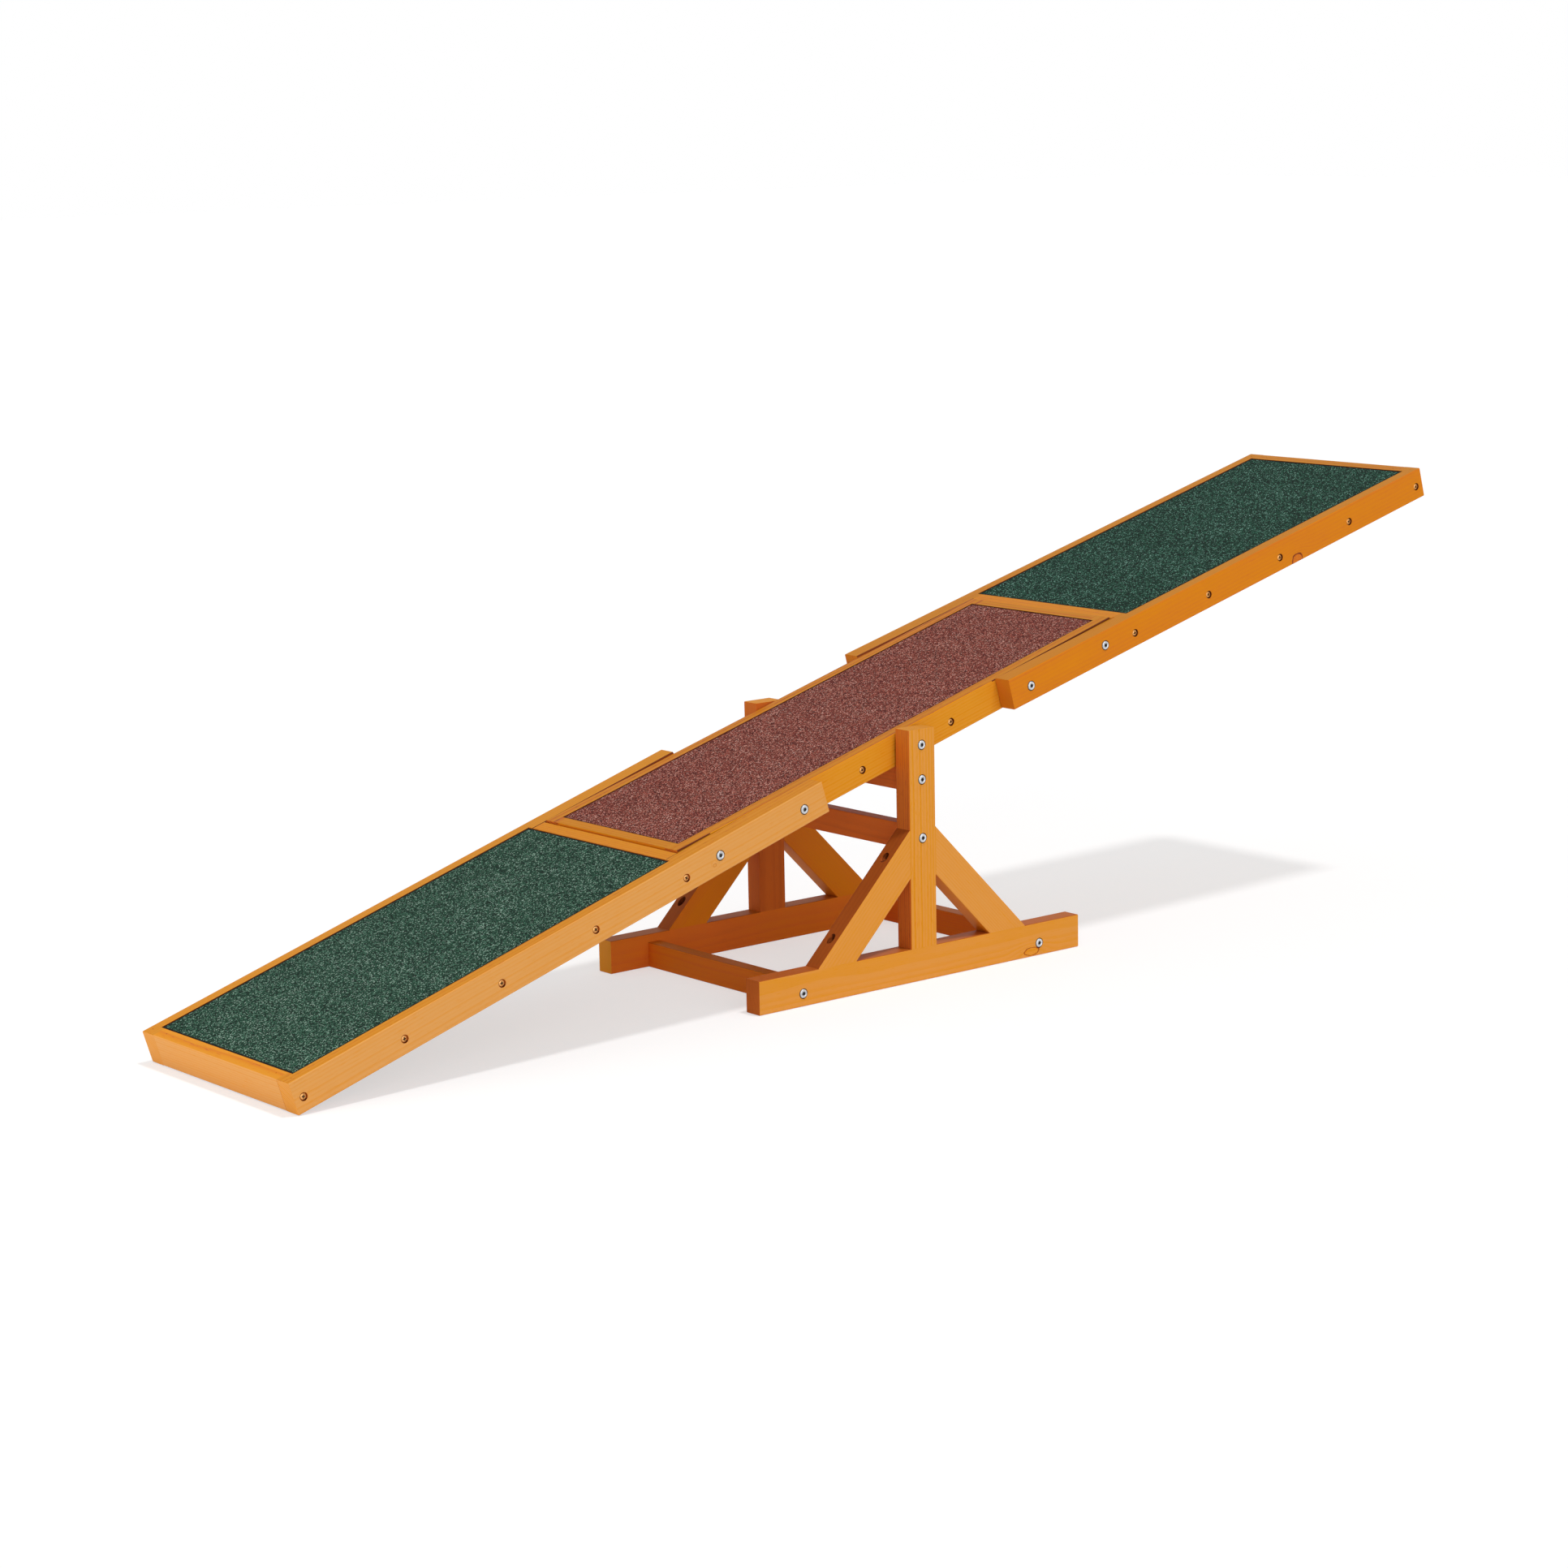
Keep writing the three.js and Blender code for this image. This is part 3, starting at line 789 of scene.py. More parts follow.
def give_grain(piece, node, kind, level, axis, box, groove=lambda middle, normal: False):
    """Writes the attributes of a finished board that its finish reads."""
    low, high = box
    centre = (low + high) / 2
    angle = trunk.uniform(*trunk_turn) + trunk.choice((0, math.pi))
    heart = trunk.uniform(*from_heart)
    shift = trunk.uniform(*along_trunk)
    tone = trunk.uniform(*tone_spread)
    along, up, size, drawn = knots.get(node, (no_knot, no_knot, knot_radius, 1.0))
    sideways = [i for i in range(3) if i != axis]
    to_level = level.inverted()
    grain, knot = [], []
    for vertex in piece.data.vertices:
        local = (to_level @ vertex.co - centre) / mm
        y, z = (local[i] for i in sideways)
        grain += (local[axis] + shift,
                  y * math.cos(angle) - z * math.sin(angle) + heart,
                  y * math.sin(angle) + z * math.cos(angle))
        away = Vector(((local[axis] - along) / drawn, local[2] - up, 0))
        knot.extend(away * knot_radius / size)
    for name, numbers in (("grain", grain), ("knot", knot)):
        store(piece, name, numbers, "FLOAT_VECTOR")
    strength = boards_with_figure.get(node, plain_figure)
    figure_share = plank_figure if kind in slopes else trestle_figure
    faces = {"figure": [], "open_grain": [], "stain": [], "shade": []}
    turn_level = to_level.to_3x3()
    for face in piece.data.polygons:
        middle = to_level @ face.center
        normal = turn_level @ face.normal
        inside = all(low[i] + wall_margin < middle[i] < high[i] - wall_margin for i in range(3))
        at_end = abs(normal[axis]) > end_facing
        # Walls of holes and pockets get 1, open grain and painted shade; sawn ends a little open
        # grain.
        faces["open_grain"].append(1.0 if inside else (end_grain if at_end else 0.0))
        way = which_way(normal, face.center)
        faces["figure"].append(strength * figure_share[way])
        # The stain and brightness of this side carry its painted shade and light.
        depth, light = own_stain_and_shade.get((node, way), stain_and_shade_by_face[kind][way])
        # The eased faces of a lap groove are painted dark as shade.
        if groove(middle, normal):
            depth = groove_painted_shade
        faces["stain"].append(depth + tone)
        faces["shade"].append(light)
    for name, numbers in faces.items():
        store(piece, name, numbers, domain="FACE")


print("open grain:", end_grain, "on sawn ends, 1 in holes")

# %% Smooth shading and hand-over
wood_crease, metal_crease, screw_crease, grit_crease = 40, 30, 35, 60
tip_slant = (0.2, 0.7)


def smooth(piece, angle=wood_crease, along=None):
    """Smooth shading that keeps flat faces flat, sharp edges sharp, and the tips of easings too."""
    if along is not None:
        def at_tip(face):
            least, most = tip_slant
            return len(face.verts) == 3 and least < abs(face.normal.dot(along)) < most
        with edit_mode(piece):
            pick("edges", lambda edge: any(at_tip(face) for face in edge.link_faces))
            bpy.ops.mesh.mark_sharp()
    only(piece)
    bpy.ops.object.shade_smooth_by_angle(angle=math.radians(angle))
    modify(piece, "WEIGHTED_NORMAL", keep_sharp=True)


def hand_over(piece, body, slot, material, *replaced):
    """Gives a finished piece its material and body, and hides what it replaces. Its slot is not
    used.
    """
    piece.data.materials.clear()
    piece.data.materials.append(material)
    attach(piece, body)
    if replaced:
        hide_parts(*replaced)
    return piece


print("finishing helpers ready")

# %% [markdown]
# ## Cutters
# Drills and routers come next. A bolt needs a counterbore for its head and a bore for its shank,
# a screw sits in a shallow round recess, and each deck lies in a pocket routed out of its frame.
# Every cutter is turned or boxed once, and laid wherever the CAD shows a fastener or a panel. The
# mouths of the drilled holes flare a little, as sanding leaves them.

# %% Cutter shapes
counterbore_radius = 6.0
counterbore_depth = 3.5
bore_radius = 3.4
bore_length = 80
screw_recess_radius = 4.75
screw_recess_depth = 3.0
drill_point = 0.8
flare = 0.3
drill_sides = 32
overrun = 3.0
# Radius and depth of the hole that the sunk head of a thin brad leaves
brad_hole = [(0.8, 0.2), (0.7, 1.6), (0, 1.8)]
brad_mouth = 1.1
brad_sides = 12


def flared_drill(name, radius, *rest):
    """A drill that comes in from past the face and leaves a hole with a flared mouth."""
    wide = radius + flare
    mouth = [(0, -overrun), (wide + overrun, -overrun), (wide, 0), (radius, flare)]
    return turned(name, mouth + list(rest), drill_sides)


def bolt_drill():
    return flared_drill("bolt_drill", counterbore_radius,
                        (counterbore_radius, counterbore_depth), (bore_radius, counterbore_depth),
                        (bore_radius, bore_length), (0, bore_length))


def recess_drill():
    return flared_drill("recess_drill", screw_recess_radius,
                        (screw_recess_radius, screw_recess_depth),
                        (0, screw_recess_depth + drill_point))


def brad_punch():
    """A punch that widens upwards, since the head tore the wood on its way in."""
    return turned("brad_punch", [(0, -overrun), (brad_mouth, -overrun)] + brad_hole, brad_sides)


def facing(side):
    """Turns a tool or a bolt that points up to point into the wood: along +Y at the front."""
    return Matrix.Rotation(-side * math.pi / 2, 4, "X")


upside_down = Matrix.Rotation(math.pi, 4, "X")
print("cutters for", 2 * counterbore_radius, "and", 2 * screw_recess_radius, "mm holes")

# %% [markdown]
# ## Where the fasteners are
# The CAD holds every bolt as a piece, so its axis and its head are measured from it. The CAD
# leaves the wood screws out, but it has their recesses: one in the outer face of the rails at each
# end of every bar and batten, at the height of the battens.

# %% Bolts and rows of screws
front, back = 1, -1
sides = {"front": front, "back": back}
bolt_nodes = {n: "plank" if "lap" in n else "trestle" for n in cad if n.endswith("_bolt")}


def bolt_axis(node):
    """Where a bolt's axis meets the top of its head, and which way it points."""
    low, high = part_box(node)
    side = front if node.startswith("front") else back
    middle = (low + high) / 2
    return Vector((middle.x, low.y if side == front else high.y, middle.z)), side


def outer_face(node):
    """How far the outer face of a piece at the back lies from the middle plane."""
    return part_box(node)[1].y


def cross_pieces(section):
    """The bars and battens that lie across a section of the plank."""
    marks = ("_end_bar", "_inner_bar", "_batten_")
    return sorted(n for n in cad if n.startswith(section + "_") and any(m in n for m in marks))


screws = []
for section in slopes:
    battens = [n for n in cross_pieces(section) if "batten" in n]
    for node in cross_pieces(section):
        batten_low, batten_high = level_box(battens[0], section)
        low, high = level_box(node, section)
        for side in (front, back):
            at = Vector(((low.x + high.x) / 2, -side * outer_face(section + "_back_rail"),
                         (batten_low.z + batten_high.z) / 2))
            screws.append({"at": laid(slopes[section]) @ at, "side": side, "section": section})
print(len(bolt_nodes), "bolts and", len(screws), "screws in the plank")

# %% [markdown]
# ## The trestle's wood
# Two side frames stand on the floor: a base rail, a post and two braces each, joined by two bars
# on the ground and two under the plank. A brace is the same board as the others, laid at 45
# degrees and then sawn twice, upright against the post and level on the rail. Two slanting
# pockets are drilled into its upper edge for the screws that hold it.

# %% Trestle boards
brace_width = 41 * mm
pocket_radius = 5.0
pocket_point = 1.2
pocket_reach = 60
pocket_floor = 14 * mm
brace_slant = math.radians(45)
brace_cut = brace_width / math.sin(brace_slant)


def brace_ends(node):
    """The foot and the head of a brace along X, and the way that it runs out from the post."""
    low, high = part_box(node)
    way = 1 if high.x > 0 else -1
    return (high.x, low.x, way) if way > 0 else (low.x, high.x, way)


def brace(node):
    """A board laid at a slant and sawn upright against the post and level on the rail."""
    low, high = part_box(node)
    foot, head, way = brace_ends(node)
    centre = Vector(((foot + head - way * brace_cut / 2) / 2, (low.y + high.y) / 2,
                     (low.z + high.z - brace_cut / 2) / 2))
    half = Vector(((high - low).length, (high.y - low.y) / 2, brace_width / 2))
    piece = block(node + "_wood", -half, half)
    plane_edges(piece, 0, ())
    slant = Matrix.Translation(centre) @ Matrix.Rotation(way * brace_slant, 4, "Y")
    move(piece, slant)
    against_post = Vector((head - way * joint_gap, 0, 0))
    on_rail = Vector((0, 0, low.z - joint_gap))
    with edit_mode(piece):
        for point, out in ((against_post, (-way, 0, 0)), (on_rail, (0, 0, -1))):
            bpy.ops.mesh.select_all(action="SELECT")
            bpy.ops.mesh.bisect(plane_co=point, plane_no=out, use_fill=True, clear_outer=True)
    return piece, slant, (-half, half)


def pocket_places(node):
    """Where the two pockets of a brace end, and the way that their screws point."""
    low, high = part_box(node)
    foot, head, way = brace_ends(node)
    middle = (low.y + high.y) / 2
    down = Vector((foot - way * brace_cut / 2, middle, low.z + pocket_floor))
    level = Vector((head + way * pocket_floor, middle, high.z - brace_cut / 2))
    return [(down, Matrix.Identity(4)), (level, Matrix.Rotation(way * math.pi / 2, 4, "Y"))]


def pocket_drill():
    """A drill that ends at the origin and comes in from above."""
    profile = [(0, -pocket_point), (pocket_radius, 0), (pocket_radius, pocket_reach),
               (0, pocket_reach)]
    return turned("pocket_drill", profile, drill_sides)


print("braces", brace_width / mm, "mm wide, with pockets", 2 * pocket_radius, "mm wide")


# %% Where boards meet


def in_joint(axis, spans, above=None):
    """A rule for edges that lie within a joint, and above a height if one is given."""
    def rule(edge):
        middle = middle_of(edge)
        at_joint = any(start < middle[axis] < stop for start, stop in spans)
        return at_joint and (above is None or middle.z > above)
    return rule


def stops_of(spans):
    """Where an easing stops: at each end of a joint, and a hair inside it."""
    return [place for start, stop in spans for place in (start, start + hair, stop - hair, stop)]


below_brace = 1 * mm
post_low, post_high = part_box("front_post")
brace_low, brace_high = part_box("front_right_brace")
foot_from, foot_to = brace_high.x - brace_cut, brace_high.x
feet = [(post_low.x, post_high.x), (foot_from, foot_to), (-foot_to, -foot_from)]
heads = [(brace_high.z - brace_cut, brace_high.z)]
top_of_rail = brace_low.z - below_brace
joints = {
    "_base_rail": {"cuts": stops_of(feet), "sharp": in_joint(0, feet, above=top_of_rail)},
    "_post": {"cuts": stops_of(heads), "sharp": in_joint(2, heads)},
}
print("a brace meets post and rail over", round(brace_cut / mm, 1), "mm")

# %% Drill and make the trestle
trestle_tools = []
drill = bolt_drill()
for node, body in bolt_nodes.items():
    if body == "trestle":
        at, side = bolt_axis(node)
        at.y = -side * outer_face("back_post")
        trestle_tools.append(copy_to(drill, "drill", at, facing(side)))
pocket = pocket_drill()
braces = sorted(n for n in cad if n.endswith("_brace"))
for node in braces:
    for at, turn in pocket_places(node):
        trestle_tools.append(copy_to(pocket, "drill", at, turn))
trestle_cutter = joined("trestle_cutter", trestle_tools)

trestle_wood = []
straight = ("_base_rail", "_post", "_ground_bar", "cross_bar")
for node in sorted(n for n in cad if n.endswith(straight)):
    meeting = next((how for ending, how in joints.items() if node.endswith(ending)), {})
    piece, axis, box = bench_board(node, "trestle", **meeting)
    cut(piece, trestle_cutter)
    kind = "bar" if node.endswith("_bar") else node.split("_")[-1]
    give_grain(piece, node, kind, Matrix.Identity(4), axis, box)
    smooth(piece, along=unit(axis))
    trestle_wood.append((piece, node))
for node in braces:
    piece, slant, box = brace(node)
    cut(piece, trestle_cutter)
    give_grain(piece, node, "brace", slant, 0, box)
    smooth(piece)
    trestle_wood.append((piece, node))
for piece, node in trestle_wood:
    hand_over(piece, "trestle", "stained_pine", pine, node)
discard(drill, pocket, trestle_cutter)
print("trestle boards:", len(trestle_wood))

# %% [markdown]
# ## The plank's wood
# Each section is a frame: two rails, a bar near each end, and battens between them that carry the
# plywood. The middle section is narrower, so its rails pass inside those of the end sections,
# where two bolts on each side hold the lap. The deck pocket is routed after the frame is together,
# so that the strips round the mat line up across the joints.

# %% Plank boards
deck_gap = 0.7 * mm
panel_seat = 0.3 * mm
router_reach = 20 * mm
brad_from_end = 9 * mm
brads_from_side = (9 * mm, 38 * mm)
lap_begins = level_box("right_front_rail", "right")[0].x
lap_ends = level_box("middle_front_rail", "middle")[1].x
eased_tilt = 0.2


def deck_router(section):
    """The pocket that takes a section's panel and mat."""
    low, high = level_box(section + "_panel", section)
    margin = Vector((deck_gap, deck_gap, 0))
    low = low - margin - Vector((0, 0, panel_seat))
    high = high + margin + Vector((0, 0, router_reach))
    return move(block("router", low, high), laid(slopes[section]))


def lap_of(section):
    """How far from the middle of the plank a section's laps begin and end."""
    if section == "middle":
        return lap_begins, math.inf
    return -math.inf, lap_ends


def rail_edges(node, section):
    """How a rail's edges are worked: a deep easing along the laps, none where bars meet it."""
    low, high = level_box(node, section)
    begins, ends = lap_of(section)
    inner, outer = sorted((low.y, high.y), key=abs)
    if section == "middle":
        cuts = [way * place for way in (-1, 1) for place in (begins, begins + hair)]
    else:
        way = 1 if high.x > -low.x else -1
        cuts = [way * (ends - hair), way * ends]

    def on_top(edge, side):
        return all(v.co.z > high.z - touch and abs(v.co.y - side) < touch for v in edge.verts)

    def deep(edge):
        lap_side = outer if section == "middle" else inner
        return on_top(edge, lap_side) and begins < abs(middle_of(edge).x) < ends

    def sharp(edge):
        return on_top(edge, inner) and not deep(edge)
    return {"cuts": cuts, "sharp": sharp, "deep": deep}


def lap_groove(section):
    """A rule for the eased faces along a lap, painted dark as the shade in the line between two
    rails.
    """
    begins, ends = lap_of(section)

    def rule(middle, normal):
        slanted = abs(normal.y) > eased_tilt and normal.z > eased_tilt
        towards_lap = (normal.y * middle.y > 0) == (section == "middle")
        return slanted and towards_lap and begins < abs(middle.x) < ends
    return rule


print("laps from", round(lap_begins / mm), "to", round(lap_ends / mm), "mm from the middle")

# %% Lay out the plank's cutters
plank_tools = {section: [deck_router(section)] for section in ("left", "middle", "right")}
recess = recess_drill()
for screw in screws:
    turns = laid(slopes[screw["section"]]), facing(screw["side"])
    plank_tools[screw["section"]].append(copy_to(recess, "drill", screw["at"], *turns))
drill = bolt_drill()
for node in sorted(n for n in bolt_nodes if n.endswith(("lap_bolt", "pivot_bolt"))):
    at, side = bolt_axis(node)
    if node.endswith("lap_bolt"):
        at.y = -side * outer_face("left_back_rail")
        targets = ("middle", "left" if at.x < 0 else "right")
    else:
        at.y = -side * outer_face("back_post")
        targets = ("middle",)
    for section in targets:
        plank_tools[section].append(copy_to(drill, "drill", at, facing(side)))
brad = brad_punch()
for section, way in (("left", -1), ("right", 1)):
    low, high = level_box(section + "_front_rail", section)
    end = low.x if way < 0 else high.x
    for side in (front, back):
        for inward in brads_from_side:
            at = Vector((end - way * brad_from_end, side * (low.y + inward), high.z))
            place = laid(slopes[section]) @ Matrix.Translation(at) @ upside_down
            plank_tools[section].append(move(copy_of(brad, "drill"), place))
discard(drill, recess, brad)
print("cutters:", {section: len(tools) for section, tools in plank_tools.items()})

# %% Make the plank's boards
plank_wood = []
for section, tools in plank_tools.items():
    cutter = joined(section + "_cutter", tools)
    level = laid(slopes[section])
    rails = [f"{section}_{side}_rail" for side in sides]
    for node in rails + cross_pieces(section):
        edges = rail_edges(node, section) if node in rails else {}
        piece, axis, box = bench_board(node, section, **edges)
        move(piece, level)
        cut(piece, cutter)
        if node in rails:
            give_grain(piece, node, section, level, axis, box, lap_groove(section))
            smooth(piece, along=level.to_3x3() @ unit(0))
        else:
            give_grain(piece, node, section, level, axis, box)
            smooth(piece)
        hand_over(piece, "plank", "stained_pine", pine, node)
        plank_wood.append(piece)
    discard(cutter)
print("plank boards:", len(plank_wood))

# %% [markdown]
# ## Panels and mats
# A panel is a sheet of three plies: a block whose top is drawn up ply by ply, each a hair smaller,
# so the edge shows its layers. The mat on it starts as a fine grid. Its border is drawn down to
# make the sides, and a Displace modifier with a cloud texture lifts the grit out of the felt, so
# that even a close look along the mat meets a rough outline.

# %% Panels
ply_count = 3
ply_step = 0.06 * mm
panel_edge = 0.5 * mm


def panel(section):
    """Draws a panel up from its lowest ply, breaks its lower edges and lays it in its section."""
    low, high = level_box(section + "_panel", section)
    thickness = (high.z - low.z) / ply_count
    piece = block(section + "_panel_ply", low, Vector((high.x, high.y, low.z + thickness)))
    top = low.z + thickness

    def on_top(face):
        return looks_up(face) and abs(face.calc_center_median().z - top) < ply_step
    with edit_mode(piece):
        for _ in range(ply_count - 1):
            pick("faces", on_top)
            bpy.ops.mesh.inset(thickness=ply_step, depth=0)
            bpy.ops.mesh.extrude_region_move(TRANSFORM_OT_translate={"value": (0, 0, thickness)})
            top += thickness
        pick("edges", lies_at(2, low.z))
        bpy.ops.mesh.bevel(offset=panel_edge, segments=2, affect="EDGES")
    level = laid(slopes[section])
    move(piece, level)
    give_grain(piece, section + "_panel", section, level, 0, (low, high))
    smooth(piece)
    return hand_over(piece, "plank", "board", board, section + "_panel")


for section in ("left", "middle", "right"):
    panel(section)
print("panels: 3, of", ply_count, "plies")

# %% Mats
grit_cell = 2.2 * mm
grit_height = 0.55 * mm
# Size of the grains, and their share of the height
grit_layers = ((3.1 * mm, 0.6), (11 * mm, 0.4))


def mat(section, slot, material, new):
    """Makes a mat with grit on top. Its attributes say how new it is and where its rim lies."""
    low, high = level_box(section + "_grit_mat", section)
    size = high - low
    cells = [round(size[i] / grit_cell) for i in range(2)]
    centre = ((low.x + high.x) / 2, (low.y + high.y) / 2, high.z)
    bpy.ops.mesh.primitive_grid_add(x_subdivisions=cells[0], y_subdivisions=cells[1], size=1,
                                    location=centre)
    piece = bpy.context.active_object
    piece.name = section + "_mat_grit"
    piece.scale = (size.x, size.y, 1)
    bpy.ops.object.transform_apply(location=True, rotation=True, scale=True)
    bpy.ops.object.vertex_group_add()
    with edit_mode(piece):
        pick("verts", lambda v: not v.is_boundary)
        bpy.ops.object.vertex_group_assign()
        pick("edges", lambda e: e.is_boundary)
        bpy.ops.mesh.extrude_region_move(TRANSFORM_OT_translate={"value": (0, 0, low.z - high.z)})
        bpy.ops.mesh.edge_face_add()
        bpy.ops.mesh.select_all(action="SELECT")
        bpy.ops.mesh.normals_make_consistent(inside=False)
    for scale, share in grit_layers:
        grain = bpy.data.textures.new("grit_cloud", "CLOUDS")
        grain.noise_scale = scale
        grain.noise_depth = 2
        modify(piece, "DISPLACE", texture=grain, direction="Z", strength=grit_height * share,
               vertex_group=piece.vertex_groups[0].name)
    points = [vertex.co for vertex in piece.data.vertices]
    rim = [min(min(p[i] - low[i], high[i] - p[i]) for i in range(2)) / mm for p in points]
    store(piece, "new", [new] * len(rim))
    store(piece, "rim", rim)
    move(piece, laid(slopes[section]))
    only(piece)
    bpy.ops.object.shade_smooth_by_angle(angle=math.radians(grit_crease))
    return hand_over(piece, "plank", slot, material, section + "_grit_mat")


for section, slot, material, new in (("left", "green_grit", green_grit, 0.0),
                                     ("middle", "red_grit", red_grit, 0.0),
                                     ("right", "green_grit", green_grit, 1.0)):
    made = mat(section, slot, material, new)
    print(made.name, len(made.data.polygons), "faces")

# %% [markdown]
# ## Bolts
# A machine bolt is turned on a lathe and its socket is broached by a six-sided punch. The head has
# a bevelled rim and a small dish round the socket, which is what catches the light in a row of
# bright dots along the frame. Those through the laps and the pivot end in a washer and a nut. One
# bolt of each length is made, and the copies are turned at random, since nobody lines sockets up.

# %% Bolt, nut and washer
head_radius = 5.4
head_height = 4.0
head_bevel = 0.9
dish_radius = 3.0
dish_depth = 0.35
dish_slope = 0.5
soft_edge = 0.15
under_edge = 0.25
rim_drop, rim_inset = 0.05, 0.06
shank_radius = 3.0
shank_point = 0.9
thread_pitch = 1.0
thread_depth = 0.45
thread_end = 1.0
socket_flats = 4.0
socket_depth = 2.5
socket_cone = 0.8
socket_above = 2.0
nut_flats = 10.0
nut_height = 5.0
# Radius past the nut's flats or corners, and height above its face, along its chamfer
nut_chamfer = ((-0.3, -0.6), (0.4, 0.9))
washer_radius = 6.0
washer_thickness = 1.2
nut_gap = 0.02
frame_bolt_plain = 30
round_sides = 48


def hexagon(name, across_flats, low, high):
    """A six-sided bar that stands on Z, in millimetres."""
    radius = across_flats / 2 / math.cos(math.pi / 6)
    bpy.ops.mesh.primitive_cylinder_add(vertices=6, radius=radius * mm, depth=(high - low) * mm,
                                        location=(0, 0, (low + high) / 2 * mm))
    piece = bpy.context.active_object
    piece.name = name
    bpy.ops.object.transform_apply(location=True, rotation=True, scale=True)
    return piece


def threads(first, last):
    """A profile of ridges between two heights, one pitch apart."""
    points = []
    height = first
    while height + thread_pitch <= last:
        points += [(shank_radius - thread_depth, height + thread_pitch / 2),
                   (shank_radius, height + thread_pitch)]
        height += thread_pitch
    return points


def socket_punch():
    """A six-sided punch with a cone at its tip."""
    punch = hexagon("punch", socket_flats, -socket_above, socket_depth)
    with edit_mode(punch):
        pick("faces", looks_up)
        bpy.ops.mesh.extrude_region_move(TRANSFORM_OT_translate={"value": (0, 0, socket_cone * mm)})
        bpy.ops.mesh.merge(type="CENTER")
    return punch


print("thread of", thread_pitch, "mm pitch")


# %% Whole bolts


def machine_bolt(name, length, thread_from, extra=()):
    """A bolt that points up, with the top of its head at zero."""
    under = head_height
    rim = head_radius - head_bevel
    profile = [(0, dish_depth), (dish_radius - dish_slope, dish_depth), (dish_radius, 0),
               (rim - soft_edge, 0), (rim, rim_drop), (head_radius - rim_inset, head_bevel),
               (head_radius, head_bevel + soft_edge), (head_radius, under - under_edge),
               (head_radius - under_edge, under), (shank_radius, under)]
    profile += list(extra)
    end = under + length
    profile += [(shank_radius, thread_from)] + threads(thread_from, end - thread_end)
    profile += [(shank_radius - shank_point, end), (0, end)]
    bolt = turned(name, profile, round_sides)
    punch = socket_punch()
    cut(bolt, punch)
    discard(punch)
    return bolt


def through_bolt(name, length, grip):
    """A bolt with the washer and the chamfered nut that clamp its far end."""
    at = head_height + grip
    top = at + washer_thickness
    washer = [(shank_radius, at), (washer_radius - soft_edge, at), (washer_radius, at + soft_edge),
              (washer_radius, top - soft_edge), (washer_radius - soft_edge, top),
              (shank_radius, top)]
    bolt = machine_bolt(name, length, top + nut_height, washer)
    nut = hexagon("nut", nut_flats, top + nut_gap, top + nut_height)
    flats, corners = nut_flats / 2, nut_flats / 2 / math.cos(math.pi / 6)
    (inset, before), (past, after) = nut_chamfer
    half = [(0, -1), (flats + inset, before), (corners + past, after)]
    cone = [(radius, top + height) for radius, height in half]
    cone += [(radius, top + nut_height - height) for radius, height in reversed(half)]
    chamfer = turned("chamfer", cone, round_sides)
    cut(nut, chamfer, "INTERSECT")
    discard(chamfer)
    return joined(name, [bolt, nut])


print("bolt head", 2 * head_radius, "mm across, socket", socket_flats, "mm")

# %% Painted shade and dirt on the bolts
shank_dirt, dish_shade, side_shade, socket_shade = 0.15, 0.4, 0.75, 1.0
face_depth = 0.6
below_head = 0.5
near = 0.2


def add_grime_and_shade(piece, rule):
    """Marks painted shade and some dirt, by a rule on the distance from the axis and the height in
    mm.
    """
    points = [vertex.co / mm for vertex in piece.data.vertices]
    store(piece, "grime_and_shade", [rule(math.hypot(x, y), z) for x, y, z in points])


# Painted shade: dark in the socket and the dish round it and on the side of the head.
def grime_and_shade_on_bolt(radius, height):
    if height > head_height + below_head:
        return shank_dirt
    if height < face_depth:
        return 0.0 if radius > dish_radius - near else dish_shade
    return side_shade if radius > head_radius - near else socket_shade


print("dirt runs from 0 on the rim of a head to", socket_shade, "in its socket")

# %% Place the bolts
nut_tail = 2.0


def grip_of(node):
    """Length under the head, and from the head to the washer, of a through bolt of the CAD."""
    low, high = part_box(node)
    length = (high.y - low.y) / mm - head_height
    return length, length - nut_tail - nut_height - washer_thickness


spin = random.Random(7)
frame_bolts = [n for n in bolt_nodes if n.endswith("bar_bolt")]
lap_bolts = [n for n in bolt_nodes if n.endswith("lap_bolt")]
pivot_bolts = [n for n in bolt_nodes if n.endswith("pivot_bolt")]
frame_low, frame_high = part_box(frame_bolts[0])
frame_length = (frame_high.y - frame_low.y) / mm - head_height
patterns = [
    (frame_bolts, machine_bolt("frame_bolt", frame_length, head_height + frame_bolt_plain)),
    (lap_bolts, through_bolt("lap_bolt", *grip_of(lap_bolts[0]))),
    (pivot_bolts, through_bolt("pivot_bolt", *grip_of(pivot_bolts[0]))),
]
for names, pattern in patterns:
    smooth(pattern, metal_crease)
    add_grime_and_shade(pattern, grime_and_shade_on_bolt)
    for node in sorted(names):
        at, side = bolt_axis(node)
        turn = Matrix.Rotation(spin.uniform(0, math.pi / 3), 4, "Z")
        bolt = copy_to(pattern, node + "_zinc", at, facing(side), turn)
        hand_over(bolt, bolt_nodes[node], "zinc_steel", zinc, node)
    discard(pattern)
    print(len(names), "bolts like", names[0])

# %% [markdown]
# ## Pivot spacers
# A ring on each pivot bolt keeps the plank clear of the posts. It is turned with broken edges.

# %% Pivot spacers
spacer_break = 0.25
spacer_dirt = 0.2


